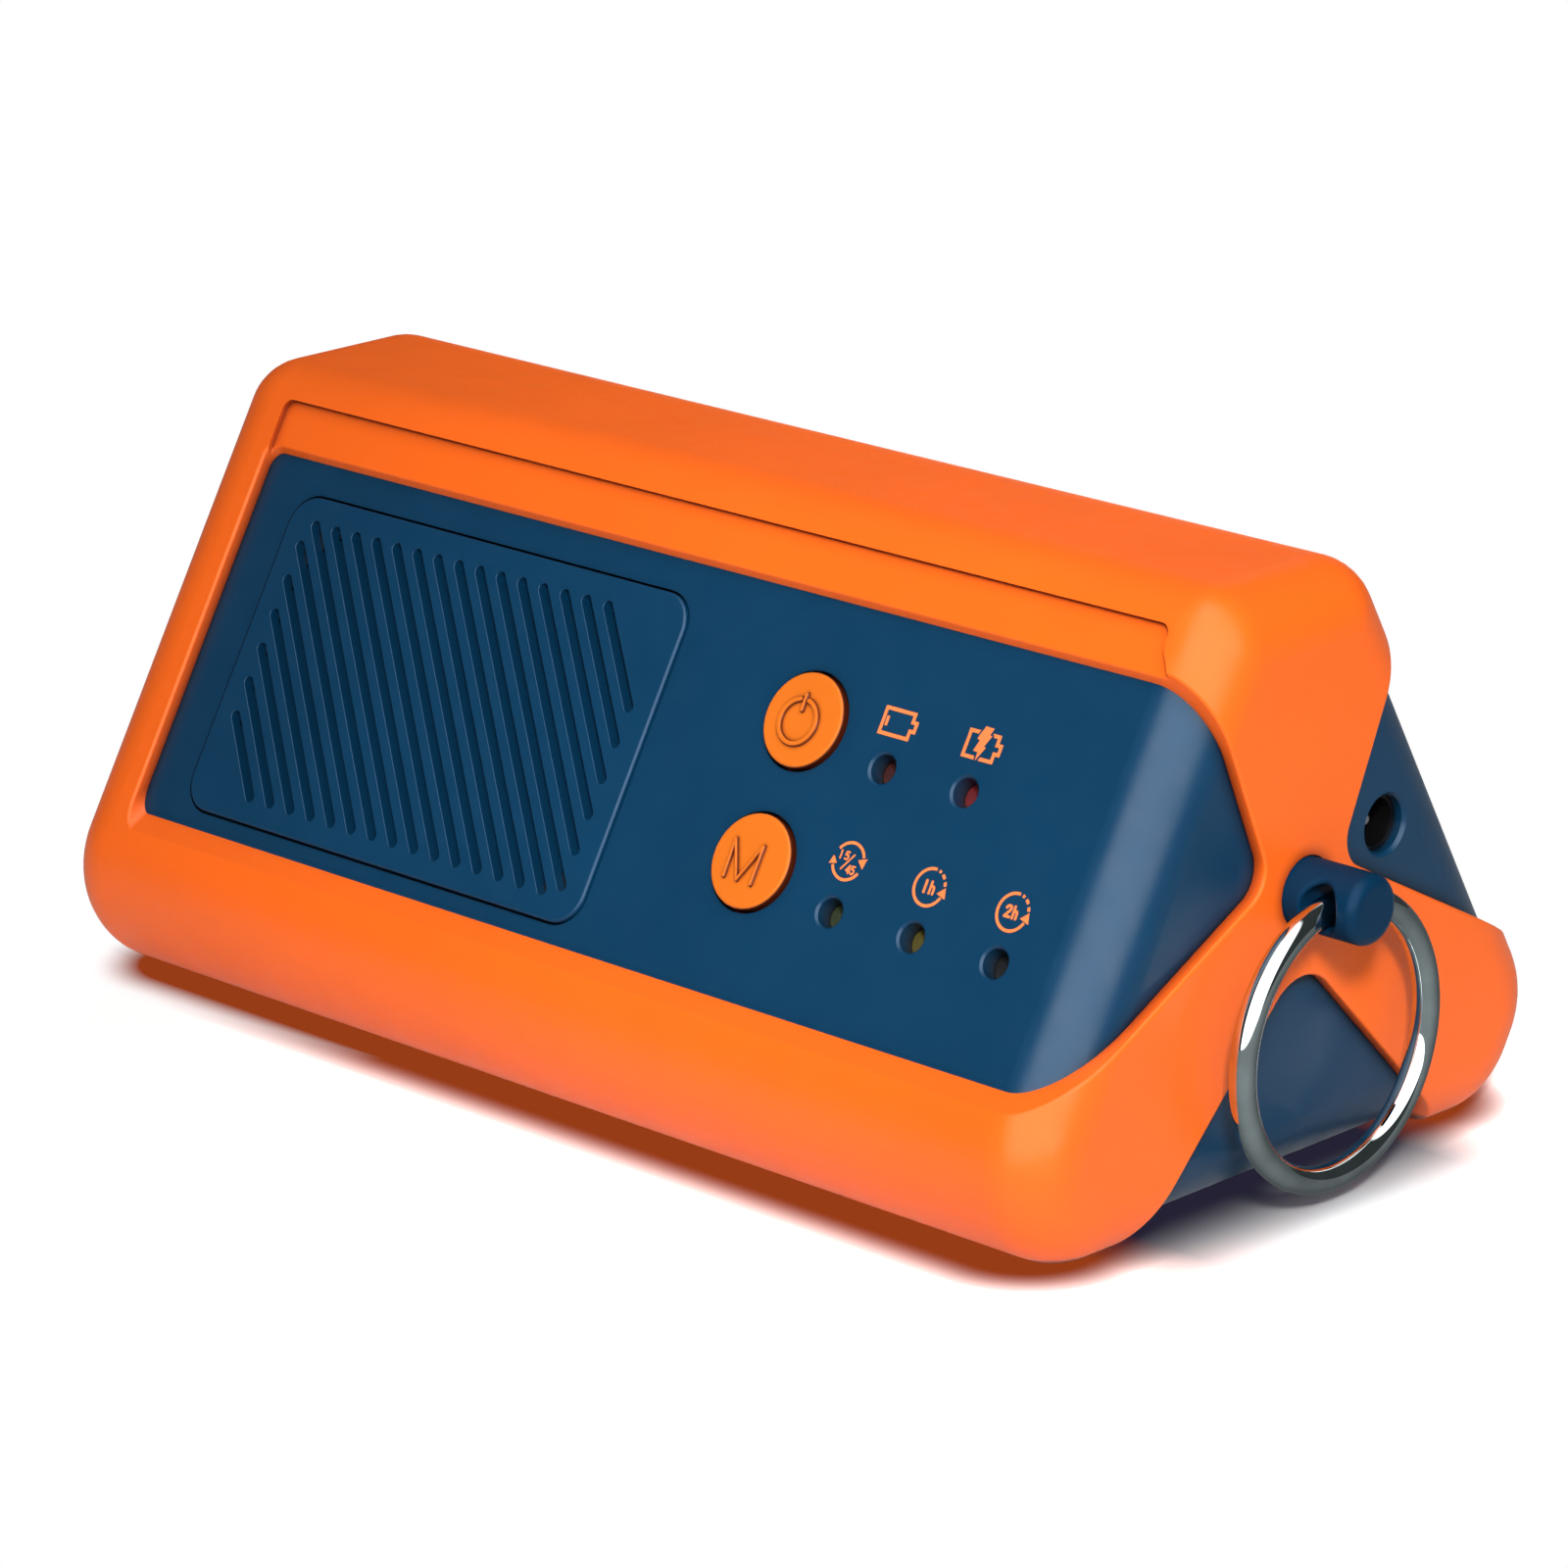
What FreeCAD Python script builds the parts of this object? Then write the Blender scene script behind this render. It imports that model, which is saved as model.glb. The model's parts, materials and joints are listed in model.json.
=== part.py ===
import FreeCAD, Part
import math
import os

# Emergency radio with a wedge-shaped body, a rubber bumper frame and a carrying ring.
#
# Units are millimetres. +X runs along the body towards the end that carries the ring, -Y is the side
# with the grille and the buttons, and +Z is up. The origin is on the table, midway along the body.
#
# Panel coordinates are used for everything on the sloping front: u along the body, v up the slope
# and w out of it. w is zero on the bumper's outer surface, and v is zero at the foot of the
# perpendicular from the section's axis.

Vector = FreeCAD.Vector
X_AXIS = Vector(1, 0, 0)
Y_AXIS = Vector(0, 1, 0)
Z_AXIS = Vector(0, 0, 1)

# Body section: six flat sides around a long axis, each at its own distance from that axis.
LENGTH = 180.0
HEIGHT = 80.5
AXIS_Z = 41.1
SLOPE_DISTANCE = 31.8
FACET_DISTANCE = 57.06
TOP_DISTANCE = HEIGHT - AXIS_Z
FRONT_FOOT_ANGLE = 210.0
REAR_FOOT_ANGLE = 330.0
SECTION_SIDES = (
    (90.0, TOP_DISTANCE),
    (150.0, SLOPE_DISTANCE),
    (FRONT_FOOT_ANGLE, FACET_DISTANCE),
    (270.0, AXIS_Z),
    (REAR_FOOT_ANGLE, FACET_DISTANCE),
    (30.0, SLOPE_DISTANCE),
)
FRONT_ANGLE = 150.0
HALF_LENGTH = LENGTH / 2

# The bumper's two feet stand further out than the covers' facets, with larger roundings.
FOOT_BULGES = {FRONT_FOOT_ANGLE: 1.6, REAR_FOOT_ANGLE: 0.9}
FRONT_FOOT_RADIUS = 14.0
REAR_FOOT_RADIUS = 13.0
FOOT_MIN_Y = 20.0

# Shell thicknesses and edge radii.
BUMPER_THICKNESS = 1.83
COVER_THICKNESS = 2.2
OUTER_RADIUS = 8.5
COVER_RADIUS = 8.0
CAVITY_RADIUS = 5.5
COVER_INSET = BUMPER_THICKNESS
CAVITY_INSET = BUMPER_THICKNESS + COVER_THICKNESS
COVER_FACE_W = -COVER_INSET
COVER_BACK_W = -CAVITY_INSET
COVER_END_X = HALF_LENGTH - COVER_INSET
CAVITY_END_X = HALF_LENGTH - CAVITY_INSET
CAVITY_FLOOR_Z = CAVITY_INSET

# Windows in the bumper: prisms along X, from the closed left end out through the right end.
WINDOW_LEFT_X = -78.8
WINDOW_CORNER_RADIUS = 2.0
FRONT_WINDOW_TIP = (-6.76, 2.26)
FRONT_WINDOW_TOP_ANGLE = 113.7
FRONT_WINDOW_LOW_ANGLE = 207.5
FRONT_WINDOW_TIP_RADIUS = 4.5
BASE_WINDOW_TIP = (0.0, -8.7)
BASE_WINDOW_HALF_ANGLE = 44.6
BASE_WINDOW_TIP_RADIUS = 7.0
RIM_RADIUS = 0.45

# Shallow blank land in the bumper above the front window.
LAND_DEPTH = 0.8
LAND_LEFT_U = -78.6
LAND_RIGHT_U = 80.9
LAND_TOP_V = 22.7
LAND_LOW_V = 12.0
LAND_CORNER_RADIUS = 1.5
LAND_CURVE_RADIUS = 1.8

# Seams between the covers meet on the post's axis.
SEAM_ANGLES = (90.0, 215.4, 324.6)

# Grille plate and its slots.
GRILLE_U = (-71.1, 4.5)
GRILLE_V = (-34.8, 10.8)
GRILLE_RADIUS = 4.5
GRILLE_TOP_W = COVER_FACE_W + 0.45
GRILLE_BACK_W = COVER_FACE_W - 1.3
GRILLE_GAP = 0.32
GRILLE_EDGE_ROUND = 0.4
GRILLE_RIB_BACK_W = COVER_FACE_W - 1.95
SLOT_COUNT = 21
SLOT_WIDTH = 1.5
SLOT_ANGLE = 39.1
SLOT_FIELD_U = (-67.25, 0.25)
SLOT_FIELD_V = (-31.1, 6.8)
SLOT_FIRST_U = -89.95
SLOT_STEP_U = 4.025
SLOT_EDGE_ROUND = 0.1

# Speaker: an oval driver behind the grille plate, on the panel's own axes.
SPEAKER_CENTRE = ((GRILLE_U[0] + GRILLE_U[1]) / 2, (GRILLE_V[0] + GRILLE_V[1]) / 2)
SPEAKER_OPENING = (69.0, 40.0, 12.0)
SPEAKER_FLANGE = (74.0, 44.0, 14.0)
OPENING_CLEARANCE = 0.2
MESH_THICKNESS = 0.4
GASKET_THICKNESS = 1.0
FLANGE_FRONT_W = COVER_BACK_W - GASKET_THICKNESS
FLANGE_BACK_W = FLANGE_FRONT_W - 1.2
SURROUND_THICKNESS = 0.5
CONE_LIP_W = FLANGE_BACK_W - SURROUND_THICKNESS
CONE_LIP_THICKNESS = 0.5
BASKET_BACK_W = -15.0
BASKET_BACK_THICKNESS = 1.0
CONE_OVAL = 14.5
CONE_RADII = (14.8, 15.2, 16.2)
COIL_OVAL = 1.0
CONE_NECK_W = -12.5
COIL_END_W = -17.5
COIL_RADIUS = (6.4, 6.9)
MAGNET_GAP_RADIUS = (5.9, 7.6)
MAGNET_RADIUS = 15.0
MAGNET_HEIGHT = 6.5
MAGNET_GAP_DEPTH = 5.0

# Buttons, their switches and the control board.
BUTTON_U = 29.4
POWER_BUTTON_V = -0.6
MODE_BUTTON_V = -19.7
BUTTON_RADIUS = 6.35
BUTTON_HOLE_RADIUS = 6.75
BUTTON_TOP_W = COVER_FACE_W + 0.8
BUTTON_ROUND = 0.4
BUTTON_FLANGE_RADIUS = 7.9
BUTTON_FLANGE_THICKNESS = 1.0
BUTTON_FLANGE_GAP = 0.05
BUTTON_STEM_RADIUS = 2.0
SWITCH_SIZE = 6.0
SWITCH_HEIGHT = 3.4
PLUNGER_RADIUS = 1.75
PLUNGER_SHOWING = 1.0
PLUNGER_DEPTH = 2.4
SLIDING_GAP = 0.05
BOARD_W = -12.0
BOARD_THICKNESS = 1.6
BOARD_U = (18.0, 75.0)
BOARD_V = (-31.0, 11.0)
BOARD_BOSSES = ((21.0, 8.0), (71.5, 8.0), (21.0, -28.0), (64.8, -28.0))
BOSS_RADIUS = 2.75
SMALL_SCREW_RADIUS = 1.1
SMALL_HEAD_RADIUS = 2.1
SMALL_HEAD_HEIGHT = 1.5

# Indicator lamps: (name, column, row). Each sits in a short tube behind the front cover.
LAMP_FIRST_U = 44.0
LAMP_STEP_U = 13.85
LAMP_ROWS_V = (-3.75, -22.95)
LAMPS = (
    ("low_battery_lamp", 0, 0),
    ("charging_lamp", 1, 0),
    ("cycle_lamp", 0, 1),
    ("one_hour_lamp", 1, 1),
    ("two_hour_lamp", 2, 1),
)
LAMP_HOLE_RADIUS = 1.95
LAMP_RIM = 0.3
LAMP_RADIUS = 1.9
LAMP_TOP_W = COVER_FACE_W - 2.9
LAMP_COLLAR_RADIUS = 2.4
LAMP_COLLAR_HEIGHT = 1.0
LAMP_TUBE_RADIUS = 3.1
LAMP_TUBE_END_W = -6.8

# Ring post and carrying ring at the right end.
POST_Z = 40.55
POST_RADIUS = 4.6
POST_TIP_X = 101.0
POST_TIP_ROUND = 1.5
POST_STEM_RADIUS = 3.0
POST_STEM_END_X = 80.0
POST_HOLE_GAP = 0.2
RING_X = 95.35
RING_RADIUS = 18.0
RING_WIRE_RADIUS = 1.75
RING_DROP = 18.15
RING_HOLE_RADIUS = 2.85
RING_HOLE_ROUND = 0.5
WASHER_RADIUS = 6.5
WASHER_THICKNESS = 1.0
NUT_ACROSS_FLATS = 10.0
NUT_THICKNESS = 3.2

# Power inlet in the right end.
JACK_Y = 17.7
JACK_Z = AXIS_Z + 3.7
JACK_BODY_RADIUS = 5.0
JACK_BACK_X = 72.0
JACK_NOSE_RADIUS = 3.75
JACK_NOSE_END_X = COVER_END_X - 1.7
JACK_WALL_RADIUS = 3.8
JACK_WALL_RIM = 0.45
JACK_OPENING_RADIUS = 3.2
JACK_DEPTH = 11.0
JACK_FLOOR_X = JACK_NOSE_END_X - JACK_DEPTH
JACK_PIN_RADIUS = 1.0
JACK_TAIL_RADIUS = 0.7
JACK_TAIL_END_X = JACK_BACK_X - 2.5
JACK_PIN_TIP_X = COVER_END_X - 3.0

# Pillars: hollow posts on the base cover meet bosses that hang from the sloping covers.
FRONT_PILLARS = ((-75.0, -24.0), (79.5, -24.0))
REAR_PILLARS = ((-75.0, 24.0), (62.0, 24.0))
PILLAR_RADIUS = 4.0
PILLAR_BORE_RADIUS = 3.1
PILLAR_TOP_Z = 34.0
PILLAR_SEAT = 2.0
PILLAR_SCREW_RADIUS = 1.25
PILLAR_SCREW_CLEARANCE = 1.6
PILLAR_SCREW_LENGTH = 10.0
PILLAR_HEAD_RADIUS = 2.7
PILLAR_HEAD_HEIGHT = 2.2

# Battery: two round cells side by side in a tray on the floor.
CELL_RADIUS = 9.2
CELL_LENGTH = 65.0
CELL_LEFT_X = -69.0
CELL_Y = 9.6
TRAY_BOSS_RADIUS = 3.5
TRAY_Z = CAVITY_FLOOR_Z + 2.0
TRAY_FLOOR = 2.0
TRAY_WALL = 1.8
TRAY_WALL_TOP_Z = 17.0
TRAY_SCREW_X = (-58.0, -18.0)
TAB_THICKNESS = 0.3

# Main board on the floor at the right.
MAIN_BOARD_X = (0.0, 72.0)
MAIN_BOARD_Y = (-20.0, 19.0)
MAIN_BOARD_Z = 10.0
MAIN_BOARD_BOSSES = ((5.0, -15.0), (5.0, 14.0), (67.0, -15.0), (67.0, 14.0))
CONNECTOR_SIZE = (6.0, 4.5, 5.0)
CONNECTOR_PLACES = ((10.0, -10.0), (10.0, 2.0), (50.0, 12.0), (40.0, -14.0))
CONNECTOR_DROP = 4.0

# Ferrite antenna high in the body.
ROD_RADIUS = 4.0
ROD_X = (-22.0, 58.0)
ROD_Y = 8.0
ROD_Z = 62.0
COIL_X = (6.0, 30.0)
COIL_WALL = 0.9
CLIP_X = (-12.0, 48.0)
CLIP_WIDTH = 4.0
CLIP_WALL = 1.6

LEAD_RADIUS = 0.7
FAR = 300.0


# ---------------------------------------------------------------- helpers


def yz_point(angle, distance):
    """Point at a distance from the section's axis, at an angle measured from +Y towards +Z."""
    turn = math.radians(angle)
    return Vector(0, distance * math.cos(turn), AXIS_Z + distance * math.sin(turn))


def side_crossing(side_a, side_b, inset):
    """Where two sides of the section meet, once both have moved inwards by inset."""
    angle_a, distance_a = math.radians(side_a[0]), side_a[1] - inset
    angle_b, distance_b = math.radians(side_b[0]), side_b[1] - inset
    spread = math.sin(angle_b - angle_a)
    y = (distance_a * math.sin(angle_b) - distance_b * math.sin(angle_a)) / spread
    z = (distance_b * math.cos(angle_a) - distance_a * math.cos(angle_b)) / spread
    return Vector(0, y, AXIS_Z + z)


def prism_x(points, x_start, x_end):
    """Solid prism along X over a closed outline given in the YZ plane."""
    outline = Part.makePolygon(points + [points[0]])
    face = Part.Face(outline)
    face.translate(Vector(x_start, 0, 0))
    return face.extrude(Vector(x_end - x_start, 0, 0))


def section_prism(sides, inset, x_start, x_end):
    """A section's sides, moved inwards by inset, as a sharp-edged prism."""
    following = sides[1:] + sides[:1]
    corners = [side_crossing(a, b, inset) for a, b in zip(sides, following)]
    return prism_x(corners, x_start, x_end)


def rounded_body(inset, radius):
    """The body moved inwards by inset on every side and both ends, with all edges rounded."""
    sharp = section_prism(SECTION_SIDES, inset, -HALF_LENGTH + inset, HALF_LENGTH - inset)
    return sharp.makeFillet(radius, sharp.Edges)


def bumper_outside():
    """The bumper's outer surface as a solid, with its fuller feet."""
    sides = [(angle, reach + FOOT_BULGES.get(angle, 0.0)) for angle, reach in SECTION_SIDES]
    sharp = section_prism(sides, 0.0, -HALF_LENGTH, HALF_LENGTH)
    middles = [e.CenterOfMass for e in sharp.Edges if runs_lengthwise(e)]
    front = [m for m in middles if m.z < AXIS_Z and m.y < -FOOT_MIN_Y]
    rear = [m for m in middles if m.z < AXIS_Z and m.y > FOOT_MIN_Y]
    others = [m for m in middles if m not in front + rear]
    rounded = sharp.makeFillet(REAR_FOOT_RADIUS, edges_at(sharp, rear))
    rounded = rounded.makeFillet(FRONT_FOOT_RADIUS, edges_at(rounded, front))
    end_edges = [e for e in rounded.Edges if e.BoundBox.XLength < 0.01]
    return rounded.makeFillet(OUTER_RADIUS, edges_at(rounded, others) + end_edges)


def runs_lengthwise(edge):
    """True for an edge along the whole body."""
    return edge.BoundBox.XLength > LENGTH - 0.01


def edges_at(shape, middles):
    """The shape's edges whose middles are at the given places."""
    return [e for e in shape.Edges if is_one_of(e.CenterOfMass, middles)]


def is_one_of(point, places):
    """True if the point is at one of the places."""
    return any((point - place).Length < 0.01 for place in places)


def cylinder(radius, start, end):
    """Solid cylinder between two points."""
    axis = end - start
    return Part.makeCylinder(radius, axis.Length, start, axis)


def upright(radius, x, y, z_low, z_high):
    """Cylinder along Z, or along the panel's outward axis before on_panel moves it."""
    return cylinder(radius, Vector(x, y, z_low), Vector(x, y, z_high))


def lengthwise(radius, x_start, x_end, y, z):
    """Cylinder along X."""
    return cylinder(radius, Vector(x_start, y, z), Vector(x_end, y, z))


def cone(radius_start, radius_end, start, end):
    """Solid cone frustum between two points."""
    axis = end - start
    return Part.makeCone(radius_start, radius_end, axis.Length, start, axis)


def box(x, y, z):
    """Solid box from three (low, high) pairs."""
    size = (x[1] - x[0], y[1] - y[0], z[1] - z[0])
    return Part.makeBox(size[0], size[1], size[2], Vector(x[0], y[0], z[0]))


def fuse(first, others):
    """One solid from several touching ones."""
    return first.multiFuse(list(others)).removeSplitter()


def cut(first, others):
    """The first solid without the others."""
    return first.cut(list(others)).removeSplitter()


def group(shapes):
    """Several separate solids kept in one node."""
    return Part.Compound(list(shapes))


def on_panel(shape):
    """Move a shape from panel coordinates to its place on the sloping front."""
    out = yz_point(FRONT_ANGLE, 1.0) - Vector(0, 0, AXIS_Z)
    up = X_AXIS.cross(out).negative()
    foot = yz_point(FRONT_ANGLE, SLOPE_DISTANCE)
    place = FreeCAD.Matrix(
        1, 0, 0, foot.x,
        0, up.y, out.y, foot.y,
        0, up.z, out.z, foot.z,
        0, 0, 0, 1,
    )
    return shape.transformed(place)


def panel_point(u, v, w):
    """A panel point in the body's own coordinates."""
    return on_panel(Part.Vertex(u, v, w)).Point


def rounded_plate(centre, size, w_low, w_high):
    """Plate in panel coordinates; size is (length, width, corner radius)."""
    length, width, radius = size
    plate = box(
        (centre[0] - length / 2, centre[0] + length / 2),
        (centre[1] - width / 2, centre[1] + width / 2),
        (w_low, w_high),
    )
    corner_edges = [e for e in plate.Edges if abs(e.tangentAt(e.FirstParameter).z) > 0.9]
    return plate.makeFillet(radius, corner_edges)


def oval_wire(radius, half_straight, w):
    """Oval outline around the speaker's centre: two half circles joined by straight sides."""
    u, v = SPEAKER_CENTRE
    right = u + half_straight
    left = u - half_straight
    low_right = Vector(right, v - radius, w)
    high_right = Vector(right, v + radius, w)
    low_left = Vector(left, v - radius, w)
    high_left = Vector(left, v + radius, w)
    edges = [
        Part.makeLine(low_left, low_right),
        Part.Arc(low_right, Vector(right + radius, v, w), high_right).toShape(),
        Part.makeLine(high_right, high_left),
        Part.Arc(high_left, Vector(left - radius, v, w), low_left).toShape(),
    ]
    return Part.Wire(edges)


def oval(radius, half_straight, w_low, w_high):
    """Solid oval around the speaker's centre."""
    face = Part.Face(oval_wire(radius, half_straight, w_low))
    return face.extrude(Vector(0, 0, w_high - w_low))


def oval_ring(radii, half_straight, w_low, w_high):
    """Oval ring between two radii."""
    outer = oval(max(radii), half_straight, w_low, w_high)
    return outer.cut(oval(min(radii), half_straight, w_low - 1, w_high + 1))


def lead(points, leaving):
    """Insulated wire along a smooth curve that starts in the leaving direction and ends downwards."""
    curve = Part.BSplineCurve()
    stiffness = 12.0
    curve.interpolate(points, InitialTangent=leaving * stiffness, FinalTangent=Z_AXIS * -stiffness)
    path = Part.Wire(curve.toShape())
    ring = Part.Wire(Part.makeCircle(LEAD_RADIUS, points[0], leaving))
    return path.makePipeShell([ring], True, True)


def panel_screw(u, v, w_head):
    """Small screw driven towards +w, with its head's underside at w_head."""
    head = upright(SMALL_HEAD_RADIUS, u, v, w_head - SMALL_HEAD_HEIGHT, w_head)
    shank = upright(SMALL_SCREW_RADIUS - SLIDING_GAP, u, v, w_head, w_head + 6.0)
    return cut(fuse(head, [shank]), cross_recess(u, v, w_head - SMALL_HEAD_HEIGHT, 1))


def floor_screw(x, y, z_head, length):
    """Small screw driven downwards, with its head's underside at z_head."""
    head = upright(SMALL_HEAD_RADIUS, x, y, z_head, z_head + SMALL_HEAD_HEIGHT)
    shank = upright(SMALL_SCREW_RADIUS - SLIDING_GAP, x, y, z_head - length, z_head)
    return cut(fuse(head, [shank]), cross_recess(x, y, z_head + SMALL_HEAD_HEIGHT, -1))


def cross_recess(x, y, z_face, inwards):
    """Two crossed slots that a screwdriver fits, sunk from z_face; inwards is +1 or -1 along Z."""
    depth = 0.8
    half_long, half_wide = 1.3, 0.3
    z = sorted((z_face, z_face + inwards * depth))
    along_x = box((x - half_long, x + half_long), (y - half_wide, y + half_wide), z)
    along_y = box((x - half_wide, x + half_wide), (y - half_long, y + half_long), z)
    return [along_x, along_y]


# ---------------------------------------------------------------- bumper and covers


def window_prism(tip, first_angle, second_angle, tip_radius):
    """Wedge along X that opens outwards from a rounded tip near the section's axis."""
    apex = Vector(0, tip[0], AXIS_Z + tip[1])
    first = apex + yz_point(first_angle, FAR) - Vector(0, 0, AXIS_Z)
    second = apex + yz_point(second_angle, FAR) - Vector(0, 0, AXIS_Z)
    wedge = prism_x([apex, first, second], WINDOW_LEFT_X, FAR)
    tip_edge = [e for e in wedge.Edges if e.Length > 2 * HALF_LENGTH and near_line(e, apex)]
    wedge = wedge.makeFillet(tip_radius, tip_edge)
    left_end = [e for e in wedge.Edges if is_left_rim(e, apex, tip_radius)]
    return wedge.makeFillet(WINDOW_CORNER_RADIUS, left_end)


def near_line(edge, apex):
    """True for the edge that runs along X through the apex."""
    middle = edge.CenterOfMass
    return abs(middle.y - apex.y) < 0.1 and abs(middle.z - apex.z) < 0.1


def is_left_rim(edge, apex, tip_radius):
    """True for the edges around the left end of a window's wedge, but not its far side."""
    middle = edge.CenterOfMass
    in_plane = edge.BoundBox.XMax < WINDOW_LEFT_X + 0.01
    distance = math.hypot(middle.y - apex.y, middle.z - apex.z)
    return in_plane and distance < 0.6 * FAR


def front_window():
    """The front window's wedge."""
    return window_prism(
        FRONT_WINDOW_TIP, FRONT_WINDOW_TOP_ANGLE, FRONT_WINDOW_LOW_ANGLE, FRONT_WINDOW_TIP_RADIUS
    )


def base_window():
    """The wedge of the window underneath."""
    low, high = 270.0 - BASE_WINDOW_HALF_ANGLE, 270.0 + BASE_WINDOW_HALF_ANGLE
    return window_prism(BASE_WINDOW_TIP, low, high, BASE_WINDOW_TIP_RADIUS)


def mirrored(shape):
    """The same shape on the other side of the body's middle plane."""
    return shape.mirror(Vector(0, 0, 0), Y_AXIS)


def land_cutter():
    """Shallow blank land above the front window, with an S-curve at its right end."""
    right, low, top = LAND_RIGHT_U, LAND_LOW_V, LAND_TOP_V
    curve_v = 18.6
    foot_u = right + 2.6
    outline = [
        Part.makeLine(Vector(LAND_LEFT_U, low, 0), Vector(LAND_LEFT_U, top, 0)),
        Part.makeLine(Vector(LAND_LEFT_U, top, 0), Vector(right, top, 0)),
        Part.makeLine(Vector(right, top, 0), Vector(right, curve_v + LAND_CURVE_RADIUS, 0)),
    ]
    ease = Part.BezierCurve()
    ease.setPoles([
        Vector(right, curve_v + LAND_CURVE_RADIUS, 0),
        Vector(right, curve_v - 0.4, 0),
        Vector(foot_u, curve_v - 0.4, 0),
        Vector(foot_u, low, 0),
    ])
    outline.append(ease.toShape())
    outline.append(Part.makeLine(Vector(foot_u, low, 0), Vector(LAND_LEFT_U, low, 0)))
    face = Part.Face(Part.Wire(outline))
    face.translate(Vector(0, 0, -LAND_DEPTH))
    cutter = face.extrude(Vector(0, 0, LAND_DEPTH + 5.0))
    corners = [e for e in cutter.Edges if is_land_corner(e)]
    return on_panel(cutter.makeFillet(LAND_CORNER_RADIUS, corners))


def is_land_corner(edge):
    """True for the land cutter's two top corners."""
    stands = edge.BoundBox.ZLength > LAND_DEPTH + 1.0
    return stands and edge.BoundBox.YMin > LAND_TOP_V - 0.1


def bumper_frame():
    """Rubber frame stretched over the covers, with one window on each of three sides."""
    outer = bumper_outside()
    post_hole = lengthwise(POST_RADIUS + POST_HOLE_GAP, COVER_END_X - 5, HALF_LENGTH + 5, 0, POST_Z)
    front = front_window()
    windows = [front, mirrored(front), base_window()]
    frame = outer.cut(windows + [land_cutter(), post_hole])
    frame = frame.cut(rounded_body(COVER_INSET, COVER_RADIUS)).removeSplitter().Solids[0]
    land_floor = on_panel(box((-FAR, FAR), (0, FAR), (-FAR, -LAND_DEPTH)))
    faces = [outer.Shells[0], land_floor.Shells[0]]
    walls = [w.Shells[0] for w in windows]
    rims = [e for e in frame.Edges if lies_on_any(e, faces) and lies_on_any(e, walls)]
    return frame.makeFillet(RIM_RADIUS, rims)


def lies_on_any(edge, shells):
    """True if the whole edge lies on one of the shells."""
    span = edge.LastParameter - edge.FirstParameter
    samples = [edge.valueAt(edge.FirstParameter + span * part) for part in (0.2, 0.5, 0.8)]
    for shell in shells:
        gaps = [shell.distToShape(Part.Vertex(sample))[0] for sample in samples]
        if max(gaps) < 0.01:
            return True
    return False


def sector(start_angle, end_angle):
    """Wedge of space around the section's axis, between two seam directions."""
    centre = Vector(0, 0, AXIS_Z)
    middle = (start_angle + end_angle) / 2
    rim = [yz_point(a, FAR) for a in (start_angle, middle, end_angle)]
    return prism_x([centre] + rim, -FAR, FAR)


def cover_shell(start_angle, end_angle):
    """Hollow shell between two seams, with a third of the post's hole."""
    shell = rounded_body(COVER_INSET, COVER_RADIUS).cut(rounded_body(CAVITY_INSET, CAVITY_RADIUS))
    stem_hole = lengthwise(POST_STEM_RADIUS + SLIDING_GAP, CAVITY_END_X - 5, COVER_END_X + 5, 0, POST_Z)
    return shell.common(sector(start_angle, end_angle)).cut(stem_hole)


def hanging_boss(x, y):
    """Boss that hangs from a sloping cover to meet a pillar."""
    boss = upright(PILLAR_RADIUS, x, y, PILLAR_TOP_Z, HEIGHT)
    return boss.common(rounded_body(COVER_INSET, COVER_RADIUS))


def boss_pilot(x, y):
    """Pilot hole for a pillar screw."""
    depth = PILLAR_SCREW_LENGTH - PILLAR_SEAT + 1.0
    return upright(PILLAR_SCREW_RADIUS, x, y, PILLAR_TOP_Z - 1, PILLAR_TOP_Z + depth)


def grille_size(margin):
    """Length, width and corner radius of the grille plate's outline, grown by margin."""
    length = GRILLE_U[1] - GRILLE_U[0] + 2 * margin
    width = GRILLE_V[1] - GRILLE_V[0] + 2 * margin
    return (length, width, GRILLE_RADIUS + margin)


def lamp_place(column, row):
    """Panel position of an indicator lamp."""
    return LAMP_FIRST_U + column * LAMP_STEP_U, LAMP_ROWS_V[row]


def lamp_hole(u, v):
    """Lamp hole with a small countersunk rim."""
    bore = upright(LAMP_HOLE_RADIUS, u, v, LAMP_TUBE_END_W - 1, 1.0)
    rim = cone(
        LAMP_HOLE_RADIUS,
        LAMP_HOLE_RADIUS + LAMP_RIM,
        Vector(u, v, COVER_FACE_W - LAMP_RIM),
        Vector(u, v, COVER_FACE_W),
    )
    return bore.fuse(rim)


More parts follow.
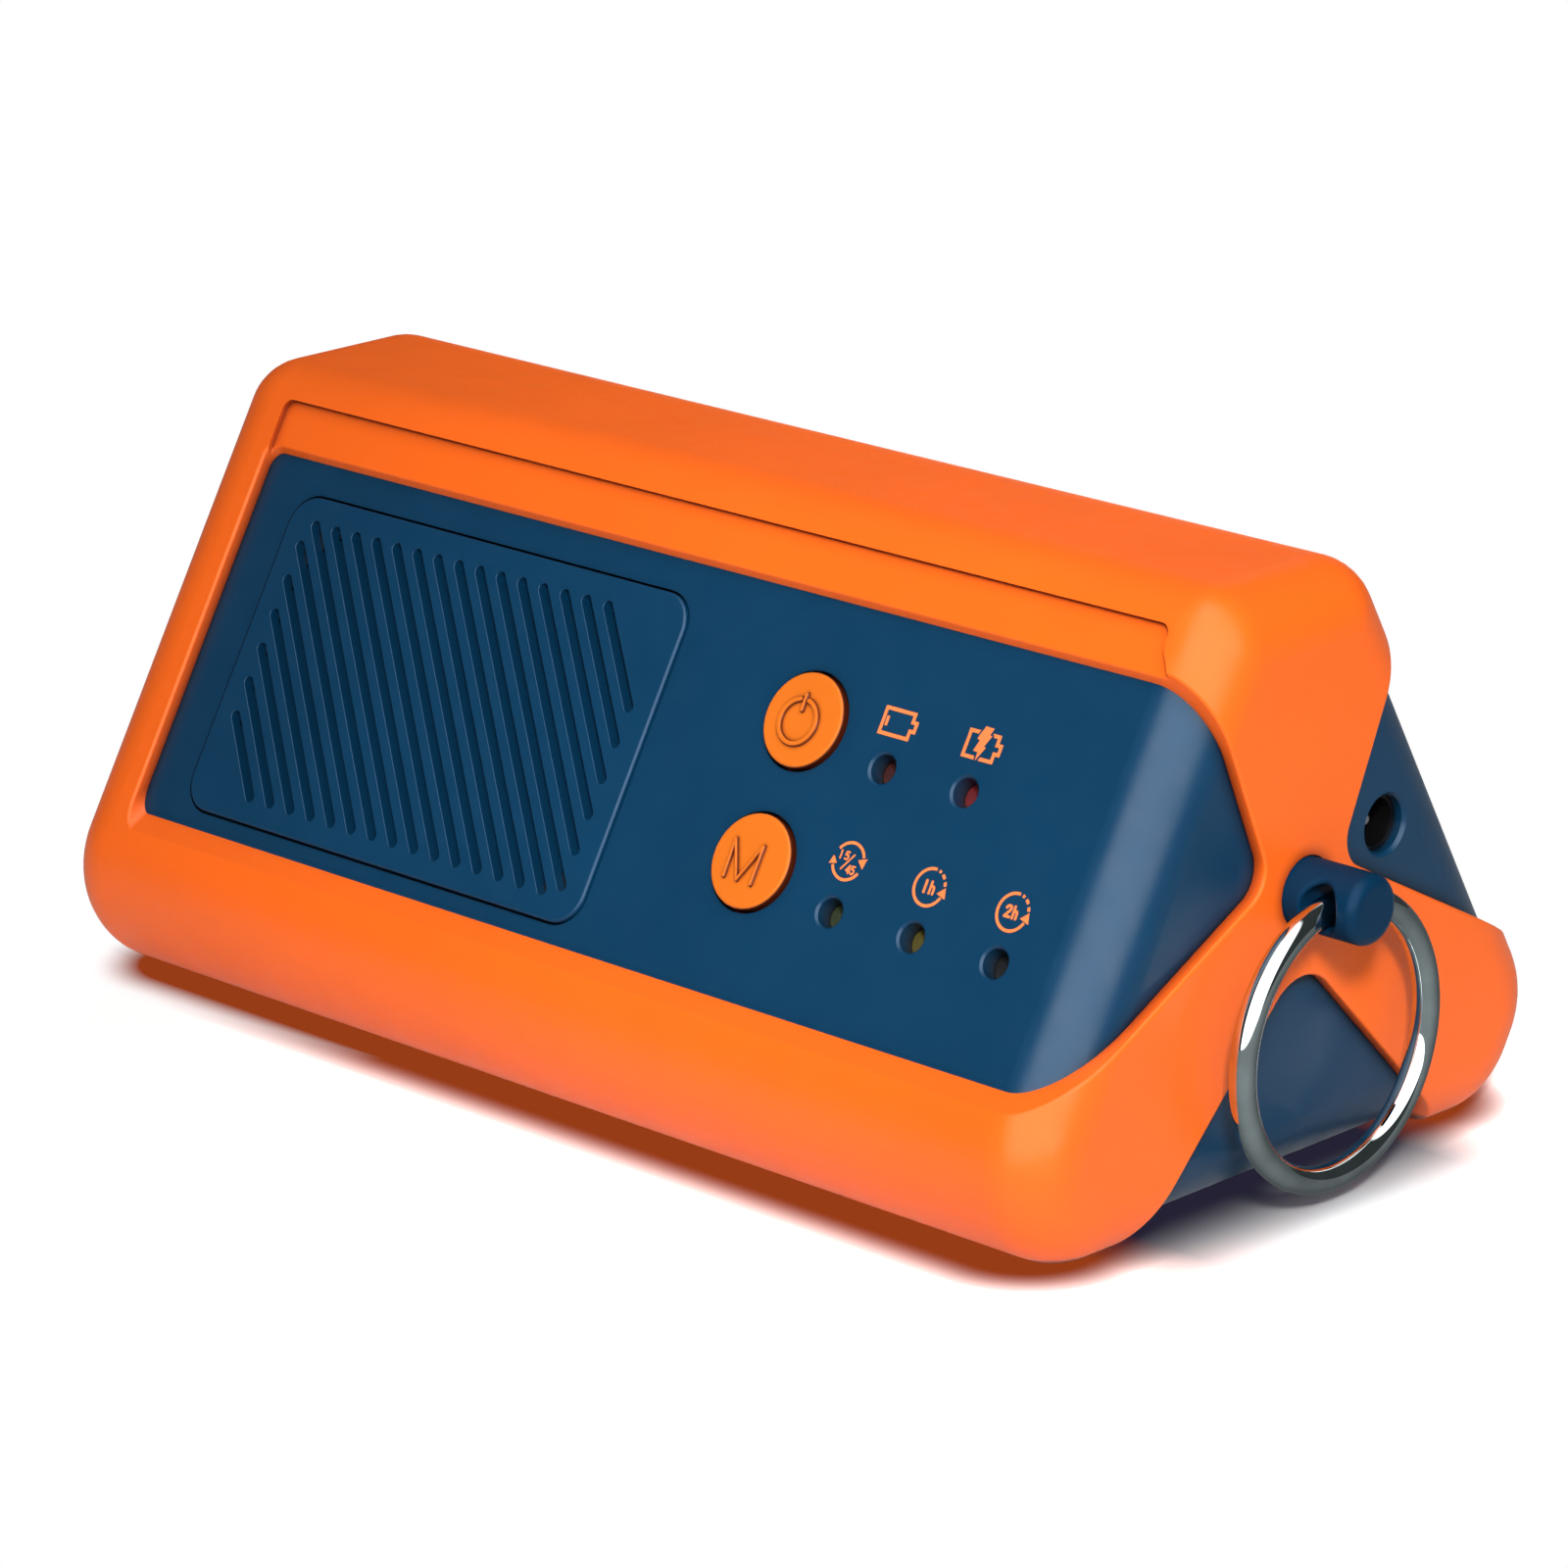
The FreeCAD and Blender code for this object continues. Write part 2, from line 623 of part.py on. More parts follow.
def front_cover():
    """Front cover: grille pocket, button holes, lamp tubes and bosses for the control board."""
    additions = [hanging_boss(x, y) for x, y in FRONT_PILLARS]
    for u, v in BOARD_BOSSES:
        boss = upright(BOSS_RADIUS, u, v, BOARD_W, COVER_BACK_W + 0.5)
        additions.append(on_panel(boss))
    for _, column, row in LAMPS:
        u, v = lamp_place(column, row)
        tube = upright(LAMP_TUBE_RADIUS, u, v, LAMP_TUBE_END_W, COVER_BACK_W + 0.5)
        additions.append(on_panel(tube))
    cover = cover_shell(SEAM_ANGLES[0], SEAM_ANGLES[1]).multiFuse(additions)

    pocket = rounded_plate(SPEAKER_CENTRE, grille_size(GRILLE_GAP), GRILLE_BACK_W, 5.0)
    opening = rounded_plate(SPEAKER_CENTRE, SPEAKER_OPENING, COVER_BACK_W - 1, 0.0)
    removals = [on_panel(pocket), on_panel(opening)]
    for v in (POWER_BUTTON_V, MODE_BUTTON_V):
        hole = upright(BUTTON_HOLE_RADIUS, BUTTON_U, v, COVER_BACK_W - 1, 1.0)
        removals.append(on_panel(hole))
    for _, column, row in LAMPS:
        removals.append(on_panel(lamp_hole(*lamp_place(column, row))))
    for u, v in BOARD_BOSSES:
        pilot = upright(SMALL_SCREW_RADIUS, u, v, BOARD_W - 1, BOARD_W + 6.5)
        removals.append(on_panel(pilot))
    removals += [boss_pilot(x, y) for x, y in FRONT_PILLARS]
    return cut(cover, removals)


def rear_cover():
    """Rear cover, with the power inlet's hole in its end wall."""
    cover = cover_shell(SEAM_ANGLES[2] - 360.0, SEAM_ANGLES[0])
    cover = cover.multiFuse([hanging_boss(x, y) for x, y in REAR_PILLARS])
    hole = lengthwise(JACK_WALL_RADIUS, CAVITY_END_X - 1, HALF_LENGTH, JACK_Y, JACK_Z)
    rim = cone(
        JACK_WALL_RADIUS,
        JACK_WALL_RADIUS + JACK_WALL_RIM,
        Vector(COVER_END_X - JACK_WALL_RIM, JACK_Y, JACK_Z),
        Vector(COVER_END_X, JACK_Y, JACK_Z),
    )
    return cut(cover, [hole, rim] + [boss_pilot(x, y) for x, y in REAR_PILLARS])


def base_cover():
    """Base cover with four hollow pillars and the bosses for the tray and the main board."""
    pillars = FRONT_PILLARS + REAR_PILLARS
    floor_z = COVER_INSET + 0.5
    additions = []
    for x, y in pillars:
        additions.append(upright(PILLAR_RADIUS, x, y, floor_z, PILLAR_TOP_Z))
    for x, y in MAIN_BOARD_BOSSES:
        additions.append(upright(BOSS_RADIUS, x, y, floor_z, MAIN_BOARD_Z))
    for x in TRAY_SCREW_X:
        additions.append(upright(TRAY_BOSS_RADIUS, x, 0, floor_z, TRAY_Z))
    cover = cover_shell(SEAM_ANGLES[1], SEAM_ANGLES[2]).multiFuse(additions)

    removals = []
    for x, y in pillars:
        seat_z = PILLAR_TOP_Z - PILLAR_SEAT
        removals.append(upright(PILLAR_BORE_RADIUS, x, y, 0, seat_z))
        removals.append(upright(PILLAR_SCREW_CLEARANCE, x, y, seat_z - 1, PILLAR_TOP_Z + 1))
    for x, y in MAIN_BOARD_BOSSES:
        removals.append(upright(SMALL_SCREW_RADIUS, x, y, MAIN_BOARD_Z - 6, MAIN_BOARD_Z + 1))
    for x in TRAY_SCREW_X:
        removals.append(upright(SMALL_SCREW_RADIUS, x, 0, TRAY_Z - 3.2, TRAY_Z + 1))
    return cut(cover, removals)


def pillar_screws():
    """Four screws that pull the base cover up against the front and rear covers."""
    screws = []
    for x, y in FRONT_PILLARS + REAR_PILLARS:
        seat_z = PILLAR_TOP_Z - PILLAR_SEAT
        head = upright(PILLAR_HEAD_RADIUS, x, y, seat_z - PILLAR_HEAD_HEIGHT, seat_z)
        shank = cylinder(
            PILLAR_SCREW_RADIUS - SLIDING_GAP,
            Vector(x, y, seat_z),
            Vector(x, y, seat_z + PILLAR_SCREW_LENGTH),
        )
        recess = cross_recess(x, y, seat_z - PILLAR_HEAD_HEIGHT, 1)
        screws.append(cut(fuse(head, [shank]), recess))
    return group(screws)


# ---------------------------------------------------------------- grille and speaker


def slot_ends(index):
    """Ends of a diagonal slot, clipped to the slot field: slots run down and to the right."""
    turn = math.radians(SLOT_ANGLE)
    step_u, step_v = math.sin(turn), -math.cos(turn)
    u_at_top = SLOT_FIRST_U + index * SLOT_STEP_U
    top_v = SLOT_FIELD_V[1]
    start = max(0.0, (SLOT_FIELD_U[0] - u_at_top) / step_u)
    end = min((SLOT_FIELD_U[1] - u_at_top) / step_u, (SLOT_FIELD_V[0] - top_v) / step_v)
    return [(u_at_top + t * step_u, top_v + t * step_v) for t in (start, end)]


def slot_cutter(index):
    """Cutter for one slot: a straight channel with round ends."""
    (u0, v0), (u1, v1) = slot_ends(index)
    radius = SLOT_WIDTH / 2
    low_w, high_w = GRILLE_RIB_BACK_W - 1, GRILLE_TOP_W + 1
    start, end = Vector(u0, v0, low_w), Vector(u1, v1, low_w)
    along = (end - start).normalize()
    side = Vector(-along.y, along.x, 0) * radius
    edges = [
        Part.makeLine(start + side, end + side),
        Part.Arc(end + side, end + along * radius, end - side).toShape(),
        Part.makeLine(end - side, start - side),
        Part.Arc(start - side, start - along * radius, start + side).toShape(),
    ]
    return Part.Face(Part.Wire(edges)).extrude(Vector(0, 0, high_w - low_w))


def opening_size(margin):
    """Length, width and corner radius of the speaker opening, shrunk by margin."""
    length, width, radius = SPEAKER_OPENING
    return (length - 2 * margin, width - 2 * margin, radius - margin)


def grille_plate():
    """Grille plate with softened edges, thickened behind its diagonal slots into deep ribs."""
    plate = rounded_plate(SPEAKER_CENTRE, grille_size(0.0), GRILLE_BACK_W, GRILLE_TOP_W)
    rim = [e for e in plate.Edges if e.BoundBox.ZMin > GRILLE_TOP_W - 0.01]
    plate = plate.makeFillet(GRILLE_EDGE_ROUND, rim)
    size = opening_size(OPENING_CLEARANCE)
    ribs = rounded_plate(SPEAKER_CENTRE, size, GRILLE_RIB_BACK_W, GRILLE_BACK_W + 0.5)
    plate = plate.fuse(ribs).cut([slot_cutter(i) for i in range(SLOT_COUNT)])
    top_face = [f for f in plate.Faces if f.BoundBox.ZMin > GRILLE_TOP_W - 0.01][0]
    slot_edges = [e for wire in top_face.Wires for e in wire.Edges if not is_plate_rim(wire)]
    return on_panel(plate.makeFillet(SLOT_EDGE_ROUND, slot_edges))


def is_plate_rim(wire):
    """True for the outline of the grille plate's face, rather than of a slot."""
    return wire.BoundBox.XLength > 0.9 * (GRILLE_U[1] - GRILLE_U[0])


def speaker_mesh():
    """Fine metal dust screen against the back of the grille plate's ribs."""
    low_w = GRILLE_RIB_BACK_W - MESH_THICKNESS
    size = opening_size(OPENING_CLEARANCE)
    return on_panel(rounded_plate(SPEAKER_CENTRE, size, low_w, GRILLE_RIB_BACK_W))


def speaker_gasket():
    """Foam ring between the front cover and the speaker's flange."""
    outer = rounded_plate(SPEAKER_CENTRE, SPEAKER_FLANGE, FLANGE_FRONT_W, COVER_BACK_W)
    inner = rounded_plate(SPEAKER_CENTRE, SPEAKER_OPENING, FLANGE_FRONT_W - 1, COVER_BACK_W + 1)
    return on_panel(outer.cut(inner))


def speaker_basket():
    """Pressed basket: front flange, windowed wall and back plate."""
    flange = rounded_plate(SPEAKER_CENTRE, SPEAKER_FLANGE, FLANGE_BACK_W, FLANGE_FRONT_W)
    flange_opening = oval(17.0, CONE_OVAL, FLANGE_BACK_W - 1, FLANGE_FRONT_W + 1)
    wall_outer = rounded_plate(SPEAKER_CENTRE, (70.0, 40.0, 19.0), BASKET_BACK_W, FLANGE_BACK_W)
    wall_inner = rounded_plate(
        SPEAKER_CENTRE, (68.0, 38.0, 18.0), BASKET_BACK_W + BASKET_BACK_THICKNESS, FLANGE_BACK_W
    )
    back_opening = oval(MAGNET_GAP_RADIUS[1], COIL_OVAL, BASKET_BACK_W - 1, BASKET_BACK_W + 2)
    basket = flange.cut(flange_opening).fuse(wall_outer.cut(wall_inner))
    u, v = SPEAKER_CENTRE
    vent_w = (BASKET_BACK_W + 2.5, FLANGE_BACK_W - 2.0)
    vents = [box((u + s * 12.0 - 8.0, u + s * 12.0 + 8.0), (v - 25, v + 25), vent_w) for s in (-1, 1)]
    vents.append(box((u - 40, u + 40), (v - 9.0, v + 9.0), vent_w))
    return on_panel(cut(basket, [back_opening] + vents))


def speaker_magnet():
    """Magnet pot with an oval gap for the voice coil."""
    u, v = SPEAKER_CENTRE
    front_w = BASKET_BACK_W
    pot = upright(MAGNET_RADIUS, u, v, front_w - MAGNET_HEIGHT, front_w)
    gap = oval_ring(MAGNET_GAP_RADIUS, COIL_OVAL, front_w - MAGNET_GAP_DEPTH, front_w + 1)
    return on_panel(pot.cut(gap))


def speaker_surround():
    """Soft rubber ring that joins the cone's lip to the basket's flange."""
    return on_panel(oval_ring((15.0, 18.4), CONE_OVAL, CONE_LIP_W, FLANGE_BACK_W))


def tapered_oval(top_radius, neck_radius, top_w):
    """Solid funnel from an oval at the cone's lip to a rounder one at the voice coil."""
    top = oval_wire(top_radius, CONE_OVAL, top_w)
    neck = oval_wire(neck_radius, COIL_OVAL, CONE_NECK_W)
    return Part.makeLoft([top, neck], True, True)


def speaker_cone():
    """Paper cone with its lip and the voice coil's former."""
    lip_back_w = CONE_LIP_W - CONE_LIP_THICKNESS
    inner_top, outer_top, lip_radius = CONE_RADII
    lip = oval_ring((inner_top, lip_radius), CONE_OVAL, lip_back_w, CONE_LIP_W)
    outside = tapered_oval(outer_top, COIL_RADIUS[1], lip_back_w)
    inside = tapered_oval(inner_top, COIL_RADIUS[0], lip_back_w)
    former = oval_ring(COIL_RADIUS, COIL_OVAL, COIL_END_W, CONE_NECK_W)
    return on_panel(fuse(outside.cut(inside), [lip, former]))


def dust_cap():
    """Cap glued in the cone's neck."""
    cap = oval(COIL_RADIUS[0] - SLIDING_GAP, COIL_OVAL, CONE_NECK_W, CONE_NECK_W + 1.2)
    top_face = [f for f in cap.Faces if f.BoundBox.ZMin > CONE_NECK_W + 1.1][0]
    return on_panel(cap.makeFillet(0.9, top_face.Edges))


# ---------------------------------------------------------------- buttons, lamps and control board


def button(v):
    """Round button with a retaining flange and a stem that reaches its switch."""
    flange_top_w = COVER_BACK_W - BUTTON_FLANGE_GAP
    flange_back_w = flange_top_w - BUTTON_FLANGE_THICKNESS
    stem_end_w = BOARD_W + SWITCH_HEIGHT + PLUNGER_SHOWING
    cap = upright(BUTTON_RADIUS, BUTTON_U, v, flange_top_w, BUTTON_TOP_W)
    top_edge = [e for e in cap.Edges if e.BoundBox.ZMin > BUTTON_TOP_W - 0.01]
    cap = cap.makeFillet(BUTTON_ROUND, top_edge)
    flange = upright(BUTTON_FLANGE_RADIUS, BUTTON_U, v, flange_back_w, flange_top_w)
    stem = upright(BUTTON_STEM_RADIUS, BUTTON_U, v, stem_end_w, flange_back_w)
    return on_panel(fuse(cap, [flange, stem]))


def switch_plunger(v):
    """Plunger of a push switch, in contact with the button's stem."""
    centre = Vector(BUTTON_U, v, 0)
    top_w = BOARD_W + SWITCH_HEIGHT + PLUNGER_SHOWING
    low_w = BOARD_W + SWITCH_HEIGHT - PLUNGER_DEPTH + 1.0
    return on_panel(cylinder(PLUNGER_RADIUS, centre + Z_AXIS * low_w, centre + Z_AXIS * top_w))


def switch_body(v):
    """Square push switch on the control board."""
    half = SWITCH_SIZE / 2
    top_w = BOARD_W + SWITCH_HEIGHT
    body = box((BUTTON_U - half, BUTTON_U + half), (v - half, v + half), (BOARD_W, top_w))
    well_w = top_w - PLUNGER_DEPTH
    well = upright(PLUNGER_RADIUS + SLIDING_GAP, BUTTON_U, v, well_w, top_w + 1)
    return on_panel(body.cut(well))


def control_board():
    """Circuit board behind the buttons and lamps."""
    board = box(BOARD_U, BOARD_V, (BOARD_W - BOARD_THICKNESS, BOARD_W))
    corner_edges = [e for e in board.Edges if abs(e.tangentAt(e.FirstParameter).z) > 0.9]
    board = board.makeFillet(2.0, corner_edges)
    holes = [
        upright(SMALL_SCREW_RADIUS + 0.1, u, v, BOARD_W - 3, BOARD_W + 1)
        for u, v in BOARD_BOSSES
    ]
    return on_panel(board.cut(holes))


def board_screws():
    """Four screws that hold the control board."""
    return group([on_panel(panel_screw(u, v, BOARD_W - BOARD_THICKNESS)) for u, v in BOARD_BOSSES])


def lamp(column, row):
    """Flat-topped indicator lamp standing on the control board."""
    u, v = lamp_place(column, row)
    body = upright(LAMP_RADIUS, u, v, BOARD_W, LAMP_TOP_W)
    collar = upright(LAMP_COLLAR_RADIUS, u, v, BOARD_W, BOARD_W + LAMP_COLLAR_HEIGHT)
    return on_panel(fuse(body, [collar]))


# ---------------------------------------------------------------- ring, post and power inlet


def ring_post():
    """Post that carries the ring, with a cross hole and a threaded stem."""
    head = lengthwise(POST_RADIUS, COVER_END_X, POST_TIP_X, 0, POST_Z)
    tip_edge = [e for e in head.Edges if e.BoundBox.XMin > POST_TIP_X - 0.01]
    head = head.makeFillet(POST_TIP_ROUND, tip_edge)
    stem = lengthwise(POST_STEM_RADIUS, POST_STEM_END_X, COVER_END_X, 0, POST_Z)
    reach = POST_RADIUS + 1.0
    hole = cylinder(RING_HOLE_RADIUS, Vector(RING_X, -reach, POST_Z), Vector(RING_X, reach, POST_Z))
    post = cut(fuse(head, [stem]), [hole])
    return post.makeFillet(RING_HOLE_ROUND, [e for e in post.Edges if is_ring_hole_rim(e)])


def is_ring_hole_rim(edge):
    """True for the edges where the ring's hole comes out of the post."""
    around = edge.CenterOfMass
    near_hole = abs(around.x - RING_X) < RING_HOLE_RADIUS
    return near_hole and abs(around.y) > 1.0 and edge.BoundBox.XMax < RING_X + RING_HOLE_RADIUS + 0.01


def carry_ring():
    """Steel ring through the post's cross hole."""
    return Part.makeTorus(RING_RADIUS, RING_WIRE_RADIUS, Vector(RING_X, 0, POST_Z - RING_DROP), X_AXIS)


def post_washer():
    """Washer between the nut and the covers' end walls."""
    start_x = CAVITY_END_X - WASHER_THICKNESS
    disc = lengthwise(WASHER_RADIUS, start_x, CAVITY_END_X, 0, POST_Z)
    hole = lengthwise(POST_STEM_RADIUS + SLIDING_GAP, start_x - 1, CAVITY_END_X + 1, 0, POST_Z)
    return disc.cut(hole)


def post_nut():
    """Hexagonal nut on the post's stem."""
    end_x = CAVITY_END_X - WASHER_THICKNESS
    corner = NUT_ACROSS_FLATS / math.sqrt(3)
    drop = Vector(0, 0, POST_Z - AXIS_Z)
    hexagon = [yz_point(60.0 * i, corner) + drop for i in range(6)]
    nut = prism_x(hexagon, end_x - NUT_THICKNESS, end_x)
    hole = lengthwise(POST_STEM_RADIUS, end_x - NUT_THICKNESS - 1, end_x + 1, 0, POST_Z)
    return nut.cut(hole)


def jack_point(x):
    """Point on the power inlet's axis."""
    return Vector(x, JACK_Y, JACK_Z)


def jack_body():
    """Power inlet's housing, with its nose in the rear cover's end wall."""
    barrel = cylinder(JACK_BODY_RADIUS, jack_point(JACK_BACK_X), jack_point(CAVITY_END_X))
    nose = cylinder(JACK_NOSE_RADIUS, jack_point(CAVITY_END_X), jack_point(JACK_NOSE_END_X))
    socket = cylinder(JACK_OPENING_RADIUS, jack_point(JACK_FLOOR_X), jack_point(JACK_NOSE_END_X + 1))
    tail_hole = cylinder(JACK_TAIL_RADIUS, jack_point(JACK_BACK_X - 1), jack_point(JACK_FLOOR_X + 1))
    return cut(fuse(barrel, [nose]), [socket, tail_hole])


def jack_pin():
    """Centre contact of the power inlet: a rounded tip, and a thinner tail through the housing."""
    pin = cylinder(JACK_PIN_RADIUS, jack_point(JACK_FLOOR_X), jack_point(JACK_PIN_TIP_X))
    tip_edge = [e for e in pin.Edges if e.BoundBox.XMin > JACK_PIN_TIP_X - 0.01]
    tail = cylinder(JACK_TAIL_RADIUS, jack_point(JACK_TAIL_END_X), jack_point(JACK_FLOOR_X))
    return fuse(pin.makeFillet(0.6, tip_edge), [tail])


# ---------------------------------------------------------------- power and electronics


def battery_tray():
    """Tray that holds both cells, screwed to two bosses on the floor."""
    left = CELL_LEFT_X - TAB_THICKNESS
    right = CELL_LEFT_X + CELL_LENGTH + TAB_THICKNESS
    half_y = CELL_Y + CELL_RADIUS
    outer_x = (left - TRAY_WALL, right + TRAY_WALL)
    outer_y = (-half_y - TRAY_WALL, half_y + TRAY_WALL)
    outer = box(outer_x, outer_y, (TRAY_Z, TRAY_WALL_TOP_Z))
    inner = box((left, right), (-half_y, half_y), (TRAY_Z + TRAY_FLOOR, TRAY_WALL_TOP_Z + 1))
    holes = [
        upright(SMALL_SCREW_RADIUS + 0.1, x, 0, TRAY_Z - 1, TRAY_Z + TRAY_FLOOR + 1)
        for x in TRAY_SCREW_X
    ]
    return cut(outer, [inner] + holes)


def cell_point(side, x):
    """Point on the axis of one battery cell; side is -1 or 1."""
    return Vector(x, side * CELL_Y, TRAY_Z + TRAY_FLOOR + CELL_RADIUS)


def battery_cells():
    """Two round cells with softened ends."""
    cells = []
    for side in (-1, 1):
        left_end = cell_point(side, CELL_LEFT_X)
        right_end = cell_point(side, CELL_LEFT_X + CELL_LENGTH)
        cell = cylinder(CELL_RADIUS, left_end, right_end)
        rims = [e for e in cell.Edges if e.Length > 50 and e.BoundBox.XLength < 0.1]
        cells.append(cell.makeFillet(0.8, rims))
    return group(cells)


def battery_tabs():
    """Nickel strips that join the cells at each end."""
    centre_z = TRAY_Z + TRAY_FLOOR + CELL_RADIUS
    half_y, half_z = CELL_Y + 4.0, 3.5
    right_x = CELL_LEFT_X + CELL_LENGTH
    places = ((CELL_LEFT_X - TAB_THICKNESS, CELL_LEFT_X), (right_x, right_x + TAB_THICKNESS))
    return group([box(x, (-half_y, half_y), (centre_z - half_z, centre_z + half_z)) for x in places])


def tray_screws():
    """Two screws between the cells that hold the tray down."""
    return group([floor_screw(x, 0, TRAY_Z + TRAY_FLOOR, 5.0) for x in TRAY_SCREW_X])


def main_board():
    """Main circuit board."""
    board = box(MAIN_BOARD_X, MAIN_BOARD_Y, (MAIN_BOARD_Z, MAIN_BOARD_Z + BOARD_THICKNESS))
    holes = [
        upright(SMALL_SCREW_RADIUS + 0.1, x, y, MAIN_BOARD_Z - 1, MAIN_BOARD_Z + 3)
        for x, y in MAIN_BOARD_BOSSES
    ]
    return board.cut(holes)


def main_board_screws():
    """Four screws that hold the main board."""
    top_z = MAIN_BOARD_Z + BOARD_THICKNESS
    return group([floor_screw(x, y, top_z, 6.5) for x, y in MAIN_BOARD_BOSSES])


def on_main_board(size, place):
    """Box-shaped component standing on the main board."""
    x, y = place
    top_z = MAIN_BOARD_Z + BOARD_THICKNESS
    half_x = size[0] / 2
    half_y = size[1] / 2
    return box((x - half_x, x + half_x), (y - half_y, y + half_y), (top_z, top_z + size[2]))


def radio_chip():
    """Receiver chip."""
    return on_main_board((10.0, 10.0, 1.4), (30.0, 0.0))


def amplifier_chip():
    """Speaker amplifier chip."""
    return on_main_board((6.0, 5.0, 1.5), (20.0, -11.0))


def board_capacitors():
    """Three electrolytic capacitors."""
    top_z = MAIN_BOARD_Z + BOARD_THICKNESS
    places = ((20.0, 11.0), (28.0, 11.0), (58.0, -10.0))
    return group([upright(3.15, x, y, top_z, top_z + 8.0) for x, y in places])


def board_connectors():
    """Plugs for the speaker, battery, power inlet and control board."""
    return group([on_main_board(CONNECTOR_SIZE, place) for place in CONNECTOR_PLACES])


def connector_point(index, rise):
    """Point above one of the main board's plugs."""
    x, y = CONNECTOR_PLACES[index]
    return Vector(x, y, MAIN_BOARD_Z + BOARD_THICKNESS + CONNECTOR_SIZE[2] + rise)


def speaker_leads():
    """Wires from the speaker's basket to the main board."""
    edge_u, edge_v = SPEAKER_CENTRE[0] + 35.0, SPEAKER_CENTRE[1] - 12.0
    start = panel_point(edge_u, edge_v, -10.0)
    middle = panel_point(edge_u + 4.0, edge_v, -15.0)
    return lead([start, middle, connector_point(0, CONNECTOR_DROP), connector_point(0, 0.0)], X_AXIS)


def battery_leads():
    """Wires from the battery tray to the main board."""
    start = Vector(CELL_LEFT_X + CELL_LENGTH + TAB_THICKNESS + TRAY_WALL / 2, 5.0, TRAY_WALL_TOP_Z)
    middle = Vector(3.5, 3.5, TRAY_WALL_TOP_Z + 8.0)
    return lead([start, middle, connector_point(1, 0.0)], Z_AXIS)


def jack_leads():
    """Wires from the power inlet to the main board."""
    start = jack_point(JACK_TAIL_END_X)
    middle = Vector(60.0, 14.0, 33.0)
    end = [connector_point(2, CONNECTOR_DROP), connector_point(2, 0.0)]
    return lead([start, middle] + end, X_AXIS.negative())


def board_cable():
    """Cable from the control board to the main board."""
    start = panel_point(40.0, -12.0, BOARD_W - BOARD_THICKNESS)
    middle = panel_point(40.0, -12.0, BOARD_W - BOARD_THICKNESS - 5.0)
    leaving = (middle - start).normalize()
    return lead([start, middle, connector_point(3, CONNECTOR_DROP), connector_point(3, 0.0)], leaving)


def rod_point(x):
    """Point on the ferrite rod's axis."""
    return Vector(x, ROD_Y, ROD_Z)


def ferrite_rod():
    """Ferrite rod of the internal antenna."""
    return cylinder(ROD_RADIUS, rod_point(ROD_X[0]), rod_point(ROD_X[1]))


def antenna_coil():
    """Copper coil wound on the ferrite rod."""
    outer = cylinder(ROD_RADIUS + COIL_WALL, rod_point(COIL_X[0]), rod_point(COIL_X[1]))
    return outer.cut(cylinder(ROD_RADIUS, rod_point(COIL_X[0] - 1), rod_point(COIL_X[1] + 1)))


def antenna_clips():
    """Two clips glued under the rear cover's top that hold the ferrite rod."""
    clips = []
    cavity = rounded_body(CAVITY_INSET, CAVITY_RADIUS)
    for x in CLIP_X:
        left, right = x - CLIP_WIDTH / 2, x + CLIP_WIDTH / 2
        ring = cylinder(ROD_RADIUS + CLIP_WALL, rod_point(left), rod_point(right))
        tab = box((left, right), (ROD_Y - 2.5, ROD_Y + 2.5), (ROD_Z, HEIGHT)).common(cavity)
        rod = cylinder(ROD_RADIUS, rod_point(left - 1), rod_point(right + 1))
        clips.append(cut(fuse(ring, [tab]), [rod]))
    return group(clips)


# ---------------------------------------------------------------- output


def build():
    """All nodes by name."""
    nodes = {
        "bumper_frame": bumper_frame(),
        "front_cover": front_cover(),
        "rear_cover": rear_cover(),
        "base_cover": base_cover(),
        "pillar_screws": pillar_screws(),
        "grille_plate": grille_plate(),
        "speaker_mesh": speaker_mesh(),
        "speaker_gasket": speaker_gasket(),
        "speaker_basket": speaker_basket(),
        "speaker_magnet": speaker_magnet(),
        "speaker_surround": speaker_surround(),
        "speaker_cone": speaker_cone(),
        "dust_cap": dust_cap(),
        "power_button": button(POWER_BUTTON_V),
        "power_switch_plunger": switch_plunger(POWER_BUTTON_V),
        "power_switch": switch_body(POWER_BUTTON_V),
        "mode_button": button(MODE_BUTTON_V),
        "mode_switch_plunger": switch_plunger(MODE_BUTTON_V),
        "mode_switch": switch_body(MODE_BUTTON_V),
        "control_board": control_board(),
        "board_screws": board_screws(),
        "ring_post": ring_post(),
        "carry_ring": carry_ring(),
        "post_washer": post_washer(),
        "post_nut": post_nut(),
        "jack_body": jack_body(),
        "jack_pin": jack_pin(),
        "battery_tray": battery_tray(),
        "battery_cells": battery_cells(),
        "battery_tabs": battery_tabs(),
        "tray_screws": tray_screws(),
        "main_board": main_board(),
        "main_board_screws": main_board_screws(),
        "radio_chip": radio_chip(),
        "amplifier_chip": amplifier_chip(),
        "board_capacitors": board_capacitors(),
        "board_connectors": board_connectors(),
        "speaker_leads": speaker_leads(),
        "battery_leads": battery_leads(),
        "jack_leads": jack_leads(),
        "board_cable": board_cable(),
        "ferrite_rod": ferrite_rod(),
        "antenna_coil": antenna_coil(),
        "antenna_clips": antenna_clips(),
    }
    for name, column, row in LAMPS:
        nodes[name] = lamp(column, row)
    return nodes


os.makedirs("parts", exist_ok=True)
for node, shape in build().items():
    shape.exportStep("parts/" + node + ".step")
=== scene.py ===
import json
import math

import bmesh
import bpy
import numpy as np
from mathutils import Matrix, Vector


